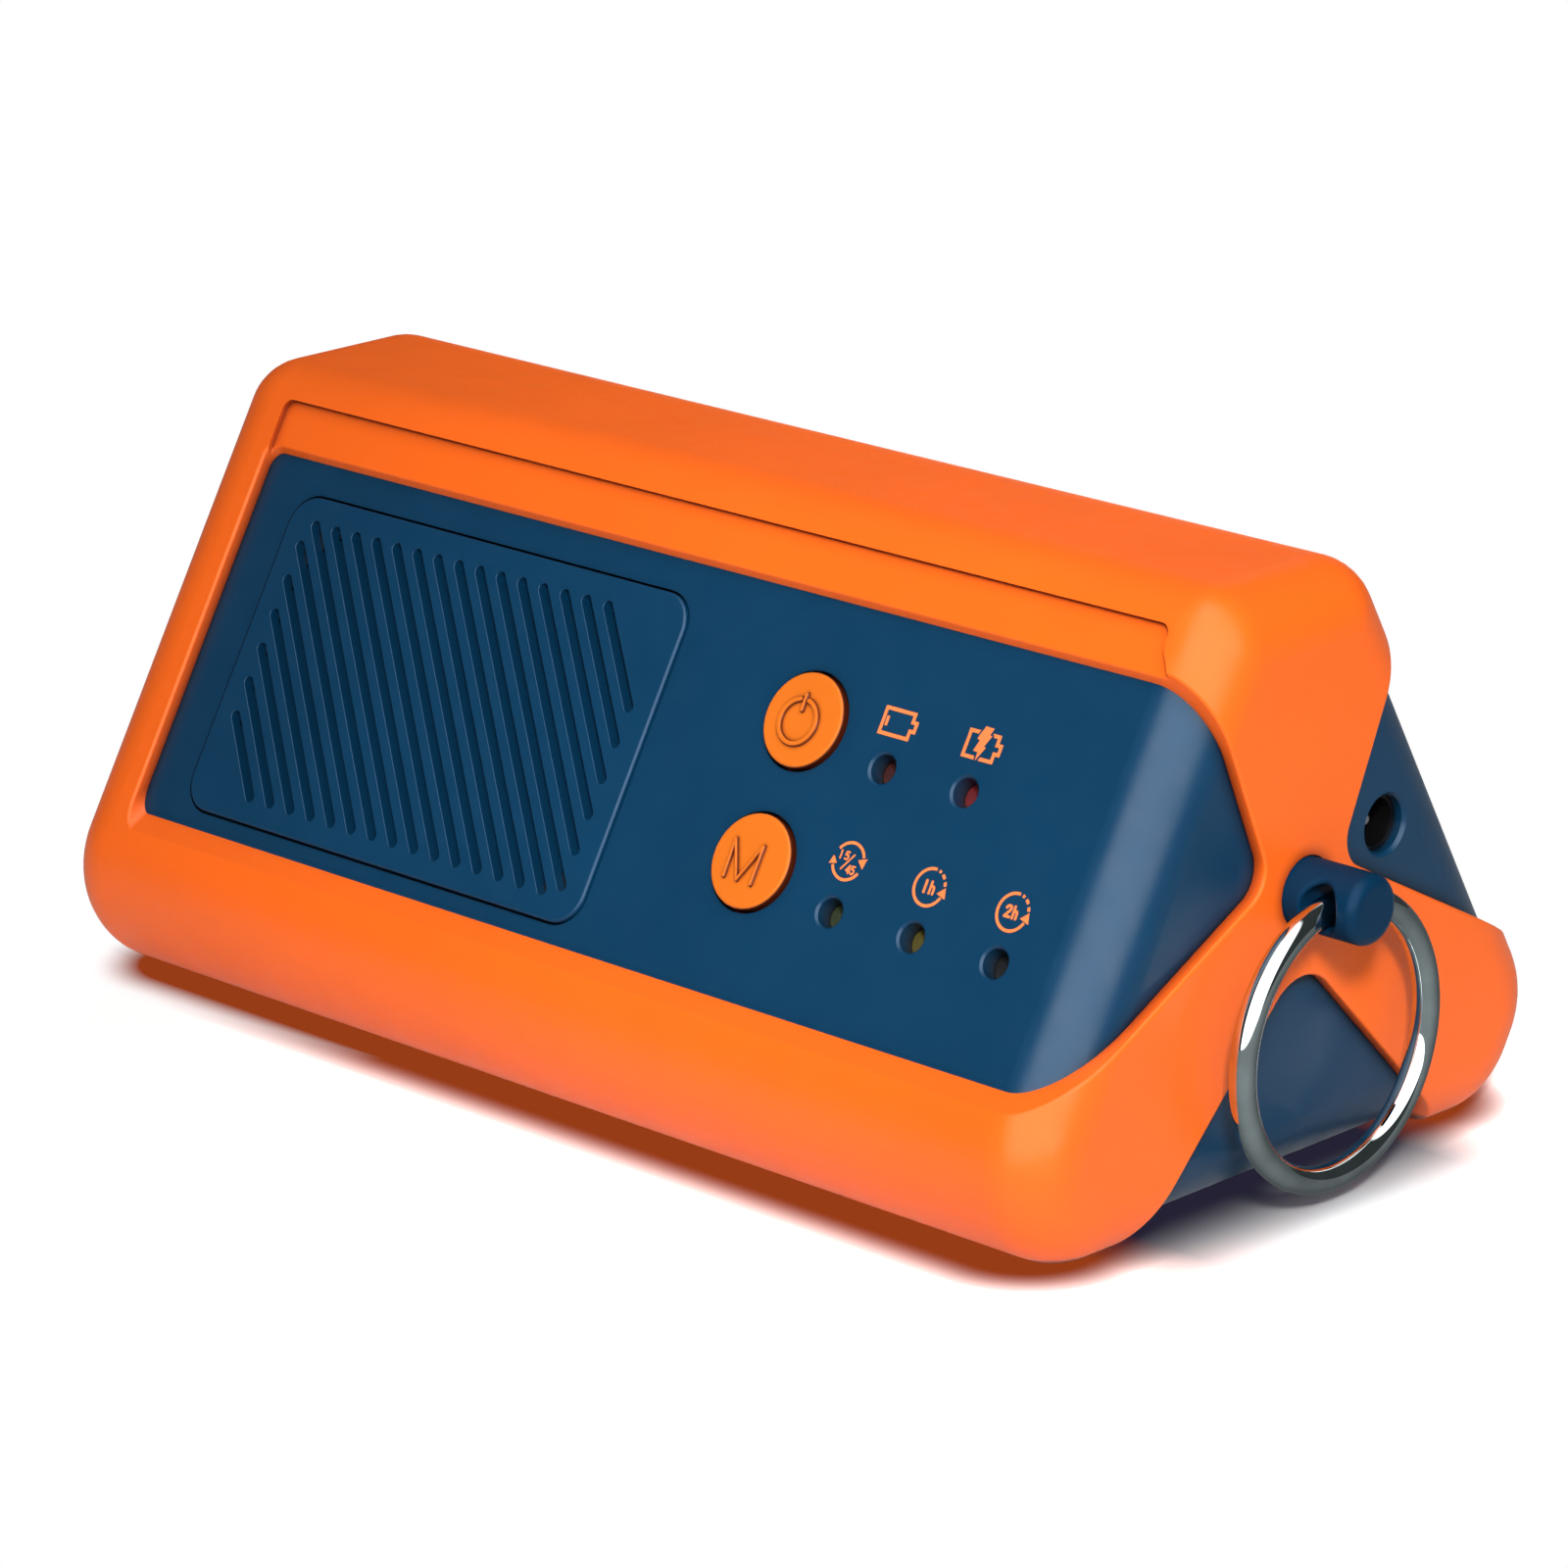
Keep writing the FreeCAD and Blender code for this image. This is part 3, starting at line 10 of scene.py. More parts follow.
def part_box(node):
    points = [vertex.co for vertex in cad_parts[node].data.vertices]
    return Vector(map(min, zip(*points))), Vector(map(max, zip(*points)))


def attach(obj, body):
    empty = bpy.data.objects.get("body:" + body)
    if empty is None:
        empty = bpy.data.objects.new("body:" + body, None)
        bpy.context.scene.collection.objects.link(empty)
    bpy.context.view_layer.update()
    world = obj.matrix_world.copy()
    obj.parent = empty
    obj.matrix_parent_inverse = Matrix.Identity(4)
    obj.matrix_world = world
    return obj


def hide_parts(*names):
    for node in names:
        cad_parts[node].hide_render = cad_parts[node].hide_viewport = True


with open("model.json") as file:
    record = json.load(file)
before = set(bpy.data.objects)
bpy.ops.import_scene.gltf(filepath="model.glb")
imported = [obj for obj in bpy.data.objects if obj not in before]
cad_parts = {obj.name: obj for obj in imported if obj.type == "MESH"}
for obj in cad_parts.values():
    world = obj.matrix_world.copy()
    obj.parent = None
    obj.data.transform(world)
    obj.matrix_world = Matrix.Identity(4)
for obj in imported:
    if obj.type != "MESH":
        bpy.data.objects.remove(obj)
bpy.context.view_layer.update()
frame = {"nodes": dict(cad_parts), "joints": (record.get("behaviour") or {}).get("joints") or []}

MM = 0.001

# ---------------------------------------------------------------- the sloping control panel

ACROSS = Vector((1, 0, 0))
PRESS = next(j for j in frame["joints"] if j["name"] == "power_button_press")
OUTWARD = -Vector(PRESS["axis"]).normalized()
UPHILL = OUTWARD.cross(ACROSS)
COVER_LEVEL = 50.52 * MM


def centre_of(node):
    """The middle of a CAD node's box."""
    low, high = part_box(node)
    return (low + high) / 2


def outer_level(node):
    """How far a CAD node reaches along the panel's outward direction."""
    return max(v.co.dot(OUTWARD) for v in frame["nodes"][node].data.vertices)


def panel_matrix(point, level):
    """Takes (u, v, height) in metres to the frame, with the origin above a point of the panel."""
    origin = point + OUTWARD * (level - point.dot(OUTWARD))
    matrix = Matrix((ACROSS, UPHILL, OUTWARD)).transposed().to_4x4()
    matrix.translation = origin
    return matrix


# ---------------------------------------------------------------- material nodes


def linear(red, green, blue):
    """A display colour, 0 to 255 each, as the scene-linear colour a shader takes."""
    made = []
    for value in (red, green, blue):
        share = value / 255
        if share <= 0.04045:
            made.append(share / 12.92)
        else:
            made.append(((share + 0.055) / 1.055) ** 2.4)
    return (made[0], made[1], made[2], 1.0)


CREASE_SAMPLES = 6
MUTED = (0.02, 0.02, 0.02, 1)


class Finish:
    """One material: a principled shader and the nodes that feed it, in the object's own coordinates."""

    def __init__(self, name):
        self.material = bpy.data.materials.new("finish_" + name)
        self.material.use_nodes = True
        self.nodes = self.material.node_tree.nodes
        self.links = self.material.node_tree.links
        self.nodes.clear()
        output = self.nodes.new("ShaderNodeOutputMaterial")
        self.shader = self.nodes.new("ShaderNodeBsdfPrincipled")
        self.links.new(self.shader.outputs[0], output.inputs[0])
        self.place = self.nodes.new("ShaderNodeTexCoord").outputs["Object"]
        self.bumps = None

    def put(self, socket, value):
        """Joins an output to an input, or sets the input to a plain value."""
        if isinstance(value, bpy.types.NodeSocket):
            self.links.new(value, socket)
        else:
            socket.default_value = value

    def set(self, name, value):
        """Sets one of the principled shader's inputs."""
        self.put(self.shader.inputs[name], value)

    def math(self, operation, first, second=0.0, third=0.0):
        """The result of one arithmetic step."""
        node = self.nodes.new("ShaderNodeMath")
        node.operation = operation
        for socket, value in zip(node.inputs, (first, second, third)):
            self.put(socket, value)
        return node.outputs[0]

    def stretched(self, scales):
        """The object's coordinates, scaled on each axis."""
        node = self.nodes.new("ShaderNodeMapping")
        self.links.new(self.place, node.inputs["Vector"])
        node.inputs["Scale"].default_value = scales
        return node.outputs[0]

    def noise(self, size_mm, detail=3.0, where=None):
        """Soft noise, about 0.5 on average, with blobs of about this size."""
        node = self.nodes.new("ShaderNodeTexNoise")
        self.links.new(where or self.place, node.inputs["Vector"])
        node.inputs["Scale"].default_value = 1 / (size_mm * MM)
        node.inputs["Detail"].default_value = detail
        return node.outputs[0]

    def cells(self, size_mm, feature="F1"):
        """Distances in a pattern of cells of about this size."""
        node = self.nodes.new("ShaderNodeTexVoronoi")
        node.feature = feature
        self.links.new(self.place, node.inputs["Vector"])
        node.inputs["Scale"].default_value = 1 / (size_mm * MM)
        return node.outputs["Distance"]

    def along(self, axis):
        """One object coordinate, in metres."""
        node = self.nodes.new("ShaderNodeSeparateXYZ")
        self.links.new(self.place, node.inputs[0])
        return node.outputs[axis]

    def waves(self, axis, pitch_mm):
        """A sine ripple along an axis, from -1 to 1, one wave to each pitch."""
        angle = self.math("MULTIPLY", self.along(axis), 2 * math.pi / (pitch_mm * MM))
        return self.math("SINE", angle)

    def ramp(self, value, low, high, to_low=0.0, to_high=1.0):
        """A value carried from one range to another, and held at the ends."""
        node = self.nodes.new("ShaderNodeMapRange")
        self.put(node.inputs["Value"], value)
        limits = (low, high, to_low, to_high)
        for socket, limit in zip(list(node.inputs)[1:5], limits):
            self.put(socket, limit)
        return node.outputs[0]

    def mix(self, share, first, second):
        """A blend of two colours."""
        node = self.nodes.new("ShaderNodeMix")
        node.data_type = "RGBA"
        self.put(node.inputs["Factor"], share)
        self.put(node.inputs[6], first)
        self.put(node.inputs[7], second)
        return node.outputs[2]

    def openness(self, reach_mm):
        """1 on open faces, falling towards 0 in creases and gaps of about this reach."""
        node = self.nodes.new("ShaderNodeAmbientOcclusion")
        node.samples = CREASE_SAMPLES
        node.inputs["Distance"].default_value = reach_mm * MM
        return node.outputs["AO"]

    def facing(self, direction):
        """1 where the surface faces a direction, 0 where it stands square to it."""
        dot = self.nodes.new("ShaderNodeVectorMath")
        dot.operation = "DOT_PRODUCT"
        self.links.new(self.nodes.new("ShaderNodeNewGeometry").outputs["Normal"], dot.inputs[0])
        dot.inputs[1].default_value = direction
        return dot.outputs["Value"]

    def muted(self, colour, share=0.75):
        """A colour that looks darker in the blurred reflections of the parts beside it."""
        path = self.nodes.new("ShaderNodeLightPath")
        blurred = self.math("SUBTRACT", path.outputs["Is Glossy Ray"], path.outputs["Is Singular Ray"])
        return self.mix(self.math("MULTIPLY", blurred, share), colour, MUTED)

    def choose(self, share, otherwise, then):
        """A mix of two shaders."""
        node = self.nodes.new("ShaderNodeMixShader")
        self.put(node.inputs[0], share)
        self.put(node.inputs[1], otherwise)
        self.put(node.inputs[2], then)
        return node.outputs[0]

    def painted_crease_shade(self, colour, dark, reach_mm, low=0.4, high=0.95):
        """Paints shade into a colour in creases and gaps, where an occlusion test finds the surface hemmed
        in.
        """
        return self.mix(self.ramp(self.openness(reach_mm), low, high), dark, colour)

    def bump(self, height, depth_mm, strength=1.0):
        """Roughens the surface by a height pattern from 0 to 1, on top of any bump before it."""
        node = self.nodes.new("ShaderNodeBump")
        node.inputs["Strength"].default_value = strength
        node.inputs["Distance"].default_value = depth_mm * MM
        self.put(node.inputs["Height"], height)
        if self.bumps is not None:
            self.links.new(self.bumps, node.inputs["Normal"])
        self.bumps = node.outputs[0]
        self.links.new(self.bumps, self.shader.inputs["Normal"])


def shaded(colour, factor):
    """The same colour, lighter or darker."""
    return (colour[0] * factor, colour[1] * factor, colour[2] * factor, 1.0)


# ---------------------------------------------------------------- finishes by kind


def moulded(name, colour, roughness, grain_mm=0.25, grain_depth_mm=0.006, mottle=0.05):
    """Moulded plastic or rubber: a fine sparked grain, faint flow marks and uneven gloss."""
    made = Finish(name)
    flow = made.noise(22.0, 2.0)
    light = shaded(colour, 1 + mottle)
    dark = shaded(colour, 1 - mottle)
    made.colour = made.mix(made.ramp(flow, 0.3, 0.7), dark, light)
    made.set("Base Color", made.colour)
    uneven = made.noise(4.0, 4.0)
    made.set("Roughness", made.ramp(uneven, 0.3, 0.7, roughness - 0.04, roughness + 0.04))
    made.set("Specular IOR Level", 0.5)
    made.bump(made.noise(grain_mm, 2.0), grain_depth_mm)
    return made


# Colours of painted shade, mixed in where creases and gaps hide a surface from light.
ORANGE_CREASE_SHADE = linear(120, 34, 10)
CAP_SHADE = linear(70, 24, 8)
GAP_SHADE_BLACK = (0.001, 0.002, 0.003, 1)
BLUE_CREASE_SHADE = linear(6, 20, 32)


def bumper_orange():
    """The orange rubber sleeve: satin, with a fine matt grain, and painted shade in its creases."""
    made = moulded("bumper_orange", linear(250, 104, 20), 0.37, 0.22, 0.007, 0.03)
    made.set("Specular IOR Level", 0.5)
    # Painted shade: darker in creases by an occlusion test, and darker in blurred reflections.
    made.set("Base Color", made.muted(made.painted_crease_shade(made.colour, ORANGE_CREASE_SHADE, 2.2, 0.45, 0.92)))
    return made


def button_orange():
    """The two caps: smoother and yellower than the sleeve, with painted shade on their skirts and by their
    symbols.
    """
    made = moulded("button_orange", linear(214, 108, 26), 0.38, 0.18, 0.004, 0.03)
    made.set("Specular IOR Level", 0.35)
    # Painted shade: darker in small creases by an occlusion test, and dark brown on faces turned away from
    # the panel.
    fine = made.painted_crease_shade(made.colour, ORANGE_CREASE_SHADE, 0.6, 0.55, 0.97)
    face = made.ramp(made.facing(OUTWARD), 0.3, 0.85)
    made.set("Base Color", made.muted(made.mix(face, CAP_SHADE, fine)))
    return made


def cover_blue():
    """The petrol blue shell: satin moulded plastic, with painted shade in its creases and painted black in
    its gaps.
    """
    made = moulded("cover_blue", linear(7, 53, 83), 0.36, 0.28, 0.006, 0.05)
    made.set("Specular IOR Level", 0.4)
    # Painted shade: darker within 2.5 mm of walls and black within 0.9 mm, by occlusion tests.
    soft = made.painted_crease_shade(made.colour, BLUE_CREASE_SHADE, 2.5)
    made.set("Base Color", made.painted_crease_shade(soft, GAP_SHADE_BLACK, 0.9, 0.5, 0.85))
    return made


def grille_blue():
    """The speaker plate, moulded in the shell's plastic with a slightly smoother face."""
    made = moulded("grille_blue", linear(6, 54, 85), 0.38, 0.22, 0.005, 0.05)
    made.set("Specular IOR Level", 0.4)
    return made


def post_blue():
    """The ring's post: the same blue, with a smoother face."""
    made = moulded("post_blue", linear(4, 44, 72), 0.4, 0.3, 0.004, 0.05)
    made.set("Specular IOR Level", 0.12)
    return made


def black_plastic():
    """Moulded black plastic with a coarse grain."""
    return moulded("black_plastic", linear(26, 26, 28), 0.5, 0.4, 0.012, 0.15)


def white_plastic():
    """Natural nylon of connectors and clips, slightly cloudy."""
    return moulded("white_plastic", linear(226, 222, 208), 0.42, 0.5, 0.006, 0.04)


def jack_black():
    """The socket's barrel: glossy black with turned rings inside its mouth."""
    made = moulded("jack_black", linear(14, 14, 15), 0.24, 0.3, 0.003, 0.2)
    made.bump(made.ramp(made.waves("X", 0.35), -1, 1), 0.012, 0.5)
    return made


def black_rubber():
    """The speaker's surround: dull rubber with a fine dusty bloom."""
    made = moulded("black_rubber", linear(30, 30, 31), 0.62, 0.16, 0.01, 0.2)
    made.set("Sheen Weight", 0.2)
    return made


def black_foam():
    """The gasket's open foam: small cells torn at the surface."""
    made = Finish("black_foam")
    pores = made.cells(0.6)
    made.set("Base Color", made.mix(pores, linear(18, 18, 19), linear(58, 58, 60)))
    made.set("Roughness", 0.95)
    made.bump(pores, 0.25)
    return made


def dark_mesh():
    """The woven cloth behind the grille: two sets of threads, over and under."""
    made = Finish("dark_mesh")
    warp = made.ramp(made.waves("X", 0.6), -1, 1)
    weft = made.ramp(made.waves("Z", 0.52), -1, 1)
    weave = made.math("MULTIPLY", warp, weft)
    made.set("Base Color", made.mix(weave, linear(8, 10, 12), linear(34, 42, 48)))
    made.set("Roughness", 0.7)
    made.bump(weave, 0.15)
    return made


def paper_cone():
    """Pressed paper pulp: short fibres and shallow rings."""
    made = Finish("paper_cone")
    fibres = made.noise(0.9, 8.0, made.stretched((1.0, 0.3, 2.0)))
    made.set("Base Color", made.mix(fibres, linear(38, 36, 34), linear(84, 80, 74)))
    made.set("Roughness", 0.9)
    made.bump(fibres, 0.06)
    return made


def metal(name, colour, roughness, scratch_mm, scratch_depth_mm, streak=(1.0, 1.0, 1.0)):
    """Bare metal with fine streaks and patchy gloss."""
    made = Finish(name)
    streaks = made.noise(scratch_mm, 5.0, made.stretched(streak))
    patches = made.noise(6.0, 3.0)
    dull = shaded(colour, 0.8)
    made.set("Base Color", made.mix(made.ramp(patches, 0.35, 0.65), dull, colour))
    made.set("Metallic", 1.0)
    made.set("Roughness", made.ramp(streaks, 0.25, 0.75, roughness * 0.7, roughness * 1.3))
    made.bump(streaks, scratch_depth_mm)
    return made


def ring_chrome():
    """Polished chrome on the ring: a mirror, with hairline polishing marks round the wire."""
    return metal("ring_chrome", linear(214, 222, 222), 0.0, 0.8, 0.0002, (0.2, 1.0, 1.0))


def zinc_steel():
    """Zinc plated steel with the pale spangle of the plating."""
    made = metal("zinc_steel", linear(186, 190, 196), 0.3, 0.5, 0.004)
    spangle = made.cells(1.6)
    made.set("Base Color", made.mix(spangle, linear(150, 154, 162), linear(208, 210, 212)))
    return made


def nickel_strip():
    """Spot-welded nickel strip, brushed along its length."""
    return metal("nickel_strip", linear(196, 190, 178), 0.28, 0.4, 0.004, (0.1, 1.0, 1.0))


def jack_pin_metal():
    """The socket's centre pin, bright nickel."""
    return metal("jack_pin_metal", linear(220, 218, 210), 0.16, 0.4, 0.001, (0.2, 1.0, 1.0))


def copper_wire():
    """Enamelled copper windings: one ridge to each turn."""
    made = metal("copper_wire", linear(190, 104, 60), 0.3, 0.5, 0.003)
    made.bump(made.ramp(made.waves("X", 0.32), -1, 1), 0.08)
    made.set("Coat Weight", 0.6)
    return made


def dark_ferrite():
    """Sintered ferrite: dark grey, sooty and slightly pitted."""
    made = Finish("dark_ferrite")
    pits = made.cells(0.7)
    soot = made.noise(3.0, 6.0)
    made.set("Base Color", made.mix(soot, linear(34, 33, 34), linear(72, 70, 70)))
    made.set("Roughness", 0.7)
    made.set("Metallic", 0.2)
    made.bump(pits, 0.05)
    return made


def board_green():
    """Solder mask over copper: darker bare board, lighter tracks and a fibreglass weave."""
    made = Finish("board_green")
    tracks = made.cells(3.2, "DISTANCE_TO_EDGE")
    lines = made.ramp(tracks, 0.05, 0.08, 1.0, 0.0)
    weave = made.math("MULTIPLY", made.waves("X", 0.7), made.waves("Y", 0.7))
    made.set("Base Color", made.mix(lines, linear(14, 74, 40), linear(36, 118, 62)))
    made.set("Roughness", made.ramp(weave, -1, 1, 0.28, 0.4))
    made.bump(lines, 0.03)
    return made


def cell_wrap():
    """Shrink wrap on the cells: glossy film, slightly rippled where it has drawn tight."""
    made = moulded("cell_wrap", linear(40, 104, 78), 0.2, 1.4, 0.02, 0.08)
    made.set("Coat Weight", 0.4)
    return made


def capacitor_sleeve():
    """Dark printed sleeve of the board's capacitors, with a pale stripe pattern."""
    made = moulded("capacitor_sleeve", linear(30, 34, 52), 0.3, 0.6, 0.008, 0.1)
    stripe = made.ramp(made.waves("Y", 5.0), 0.9, 0.95)
    made.set("Base Color", made.mix(stripe, linear(30, 34, 52), linear(170, 172, 176)))
    return made


def lead_insulation():
    """Red insulation of the leads, rubbed a little along its length."""
    return moulded("lead_insulation", linear(150, 26, 24), 0.4, 0.5, 0.008, 0.15)


def lens(name, colour, glow):
    """A lamp's tinted epoxy lens: clear coat over a cloudy core, glowing faintly."""
    made = Finish(name)
    cloud = made.noise(0.8, 3.0)
    made.set("Base Color", made.mix(cloud, shaded(colour, 0.7), shaded(colour, 1.3)))
    made.set("Roughness", made.ramp(cloud, 0.3, 0.7, 0.12, 0.3))
    made.set("Coat Weight", 0.7)
    made.set("Emission Color", colour)
    made.set("Emission Strength", glow)
    made.bump(cloud, 0.02)
    return made


def printed_ink():
    """The screen-printed orange markings: slightly uneven ink."""
    return moulded("printed_ink", linear(240, 128, 70), 0.5, 0.12, 0.002, 0.05)


LAMP_GLOW = 0.03
FINISHES = {
    "bumper_orange": bumper_orange,
    "button_orange": button_orange,
    "cover_blue": cover_blue,
    "grille_blue": grille_blue,
    "post_blue": post_blue,
    "black_plastic": black_plastic,
    "white_plastic": white_plastic,
    "jack_black": jack_black,
    "black_rubber": black_rubber,
    "black_foam": black_foam,
    "dark_mesh": dark_mesh,
    "paper_cone": paper_cone,
    "ring_chrome": ring_chrome,
    "zinc_steel": zinc_steel,
    "nickel_strip": nickel_strip,
    "jack_pin_metal": jack_pin_metal,
    "copper_wire": copper_wire,
    "dark_ferrite": dark_ferrite,
    "board_green": board_green,
    "cell_wrap": cell_wrap,
    "capacitor_sleeve": capacitor_sleeve,
    "lead_insulation": lead_insulation,
    "printed_ink": printed_ink,
}
LENS_COLOURS = {
    "lamp_dark_red": (58, 18, 14),
    "lamp_red": (100, 22, 24),
    "lamp_green": (42, 50, 26),
    "lamp_amber": (74, 66, 16),
    "lamp_smoke": (14, 14, 14),
}


def make_finishes():
    """Every material by its slot's name."""
    made = {}
    for name, build in FINISHES.items():
        made[name] = build().material
    for name, colour in LENS_COLOURS.items():
        made[name] = lens(name, linear(*colour), LAMP_GLOW).material
    return made


def dress_cad_nodes(finishes):
    """Gives each carried-over CAD node the finish of the slot it was packed with."""
    for node in frame["nodes"].values():
        for place in node.material_slots:
            place.material = finishes[place.material.name.split(".")[0]]


# ---------------------------------------------------------------- new pieces


def add_piece(name, bm, finish, body, smooth=True):
    """Turns a bmesh into a named piece that rides on a body."""
    bmesh.ops.recalc_face_normals(bm, faces=bm.faces[:])
    mesh = bpy.data.meshes.new(name)
    bm.to_mesh(mesh)
    bm.free()
    piece = bpy.data.objects.new(name, mesh)
    bpy.context.scene.collection.objects.link(piece)
    mesh.materials.append(finish)
    for polygon in mesh.polygons:
        polygon.use_smooth = smooth
    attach(piece, body)
    return piece


RING_STEPS = 256
WIRE_STEPS = 48


def carry_ring_piece(finishes):
    """The ring as one smooth torus in the CAD ring's place."""
    low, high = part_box("carry_ring")
    centre = (low + high) / 2
    wire = (high.x - low.x) / 2
    radius = (high.y - low.y) / 2 - wire
    bm = bmesh.new()
    rows = []
    for step in range(RING_STEPS):
        angle = 2 * math.pi * step / RING_STEPS
        spoke = Vector((0, math.sin(angle), math.cos(angle)))
        row = []
        for turn in range(WIRE_STEPS):
            around = 2 * math.pi * turn / WIRE_STEPS
            offset = spoke * (radius + wire * math.cos(around))
            row.append(bm.verts.new(centre + offset + ACROSS * wire * math.sin(around)))
        rows.append(row)
    for step in range(RING_STEPS):
        here = rows[step]
        there = rows[(step + 1) % RING_STEPS]
        for turn in range(WIRE_STEPS):
            after = (turn + 1) % WIRE_STEPS
            bm.faces.new((here[turn], there[turn], there[after], here[after]))
    piece = add_piece("ring_wire", bm, finishes["ring_chrome"], "carry_ring")
    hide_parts("carry_ring")


# Markings are drawn as fields over the panel: functions of u and v in millimetres that are
# negative inside the mark and grow by the distance outside it.


def stroke(start, end, width):
    """A straight stroke with round ends."""

    def field(u, v):
        run = (end[0] - start[0], end[1] - start[1])
        square = run[0] ** 2 + run[1] ** 2
        share = ((u - start[0]) * run[0] + (v - start[1]) * run[1]) / square
        share = np.clip(share, 0, 1)
        return np.hypot(u - start[0] - share * run[0], v - start[1] - share * run[1]) - width / 2

    return field


def strokes(points, width):
    """A bent line of strokes."""
    return union([stroke(a, b, width) for a, b in zip(points, points[1:])])


def bar(left, low, right, high):
    """A filled rectangle."""

    def field(u, v):
        du = np.maximum(left - u, u - right)
        dv = np.maximum(low - v, v - high)
        return np.maximum(du, dv)

    return field


def square_line(points, width):
    """A line of upright and level strokes with square corners."""
    half = width / 2
    parts = []
    for a, b in zip(points, points[1:]):
        left, right = sorted((a[0], b[0]))
        low, high = sorted((a[1], b[1]))
        parts.append(bar(left - half, low - half, right + half, high + half))
    return union(parts)


def arc(radius, start, end, width, centre=(0, 0), round_ends=False):
    """A stroke along a circle, from one angle to another in degrees, counter-clockwise."""
    middle = math.radians((start + end) / 2)
    half_turn = math.radians((end - start) / 2)

    def field(u, v):
        du = u - centre[0]
        dv = v - centre[1]
        angle = np.arctan2(dv, du) - middle
        angle = np.abs((angle + np.pi) % (2 * np.pi) - np.pi)
        band = np.abs(np.hypot(du, dv) - radius) - width / 2
        if not round_ends:
            return np.maximum(band, (angle - half_turn) * radius)
        ends = []
        for turn in (start, end):
            tip = (math.cos(math.radians(turn)) * radius, math.sin(math.radians(turn)) * radius)
            ends.append(np.hypot(du - tip[0], dv - tip[1]) - width / 2)
        nearest = np.minimum(ends[0], ends[1])
        return np.where(angle < half_turn, band, nearest)

    return field


def polygon(points):
    """A filled polygon."""

    def field(u, v):
        inside = np.zeros(u.shape, bool)
        nearest = np.full(u.shape, np.inf)
        for a, b in zip(points, points[1:] + points[:1]):
            nearest = np.minimum(nearest, stroke(a, b, 0)(u, v))
            if a[1] == b[1]:
                continue
            crosses = (a[1] > v) != (b[1] > v)
            at = (b[0] - a[0]) * (v - a[1]) / (b[1] - a[1]) + a[0]
            inside ^= crosses & (u < at)
        return np.where(inside, -nearest, nearest)

    return field


def union(parts):
    """Any of several marks."""

    def field(u, v):
        made = parts[0](u, v)
        for part in parts[1:]:
            made = np.minimum(made, part(u, v))
        return made

    return field


def without(mark, hole, gap):
    """A mark with another one, and a gap round it, taken away."""

    def field(u, v):
        return np.maximum(mark(u, v), gap - hole(u, v))

    return field


def moved(mark, du, dv, turn=0.0):
    """A mark turned by degrees and moved."""
    cos = math.cos(math.radians(turn))
    sin = math.sin(math.radians(turn))

    def field(u, v):
        a = u - du
        b = v - dv
        return mark(a * cos + b * sin, b * cos - a * sin)

    return field


GRID_STEP = 0.05
NEAREST_CUT = 0.02


def marking(name, mark, reach, place, height, rounding, finish, body, slot_name):
    """Builds a mark as a thin closed solid on the panel.

    reach is how far the mark goes from its centre. The mark is cut from a grid of GRID_STEP, with
    its edge crossing each side no nearer a corner than NEAREST_CUT of a step. place takes it to the
    frame. A rounding above zero slopes the top down to its edges over that distance.
    """
    ticks = np.arange(-reach, reach + GRID_STEP, GRID_STEP) + GRID_STEP / 3
    grid_u, grid_v = np.meshgrid(ticks, ticks, indexing="ij")
    values = mark(grid_u, grid_v)
    bm = bmesh.new()
    known = {}

    def vertex(key, u, v):
        if key not in known:
            known[key] = bm.verts.new((u, v, 0))
        return known[key]

    def crossing(here, there):
        key = (min(here, there), max(here, there))
        share = values[here] / (values[here] - values[there])
        share = min(max(share, NEAREST_CUT), 1 - NEAREST_CUT)
        u = ticks[here[0]] + share * (ticks[there[0]] - ticks[here[0]])
        v = ticks[here[1]] + share * (ticks[there[1]] - ticks[here[1]])
        return vertex(key, u, v)

    inside = values < 0
    touched = inside[:-1, :-1] | inside[1:, :-1] | inside[:-1, 1:] | inside[1:, 1:]
    for i, j in zip(*np.nonzero(touched)):
        corners = [(i, j), (i + 1, j), (i + 1, j + 1), (i, j + 1)]
        outline = []
        for here, there in zip(corners, corners[1:] + corners[:1]):
            if inside[here]:
                outline.append(vertex(here, ticks[here[0]], ticks[here[1]]))
            if inside[here] != inside[there]:
                outline.append(crossing(here, there))
        if len(outline) > 2:
            bm.faces.new(outline)
    raised = bmesh.ops.extrude_face_region(bm, geom=bm.faces[:])
    lifted = [part for part in raised["geom"] if isinstance(part, bmesh.types.BMVert)]
    spots = np.array([vert.co[:2] for vert in lifted])
    depths = -mark(spots[:, 0], spots[:, 1])
    for vert, depth in zip(lifted, depths):
        share = 1.0
        if rounding:
            share = math.sin(min(max(depth / rounding, 0.0), 1.0) * math.pi / 2)
        vert.co.z = height * share + SUNK
    lifted = set(lifted)
    for vert in bm.verts:
        if vert not in lifted:
            vert.co.z = -SUNK
    bm.transform(place @ Matrix.Scale(MM, 4))
    add_piece(name, bm, finish, body, smooth=bool(rounding))


SUNK = 0.01
BUTTON_REACH = 4.4
BUTTON_RELIEF = 0.4
BUTTON_ROUNDING = 0.25
ICON_REACH = 3.7
INK_HEIGHT = 0.02


def power_mark():
    """The usual power symbol: a ring open at the top with an upright stroke in the gap."""
    open_half = 14
    ring = arc(2.96, 90 + open_half, 450 - open_half, 0.88, (-0.5, 0), True)
    return union([ring, stroke((-0.5, 1.5), (-0.5, 3.65), 0.7)])


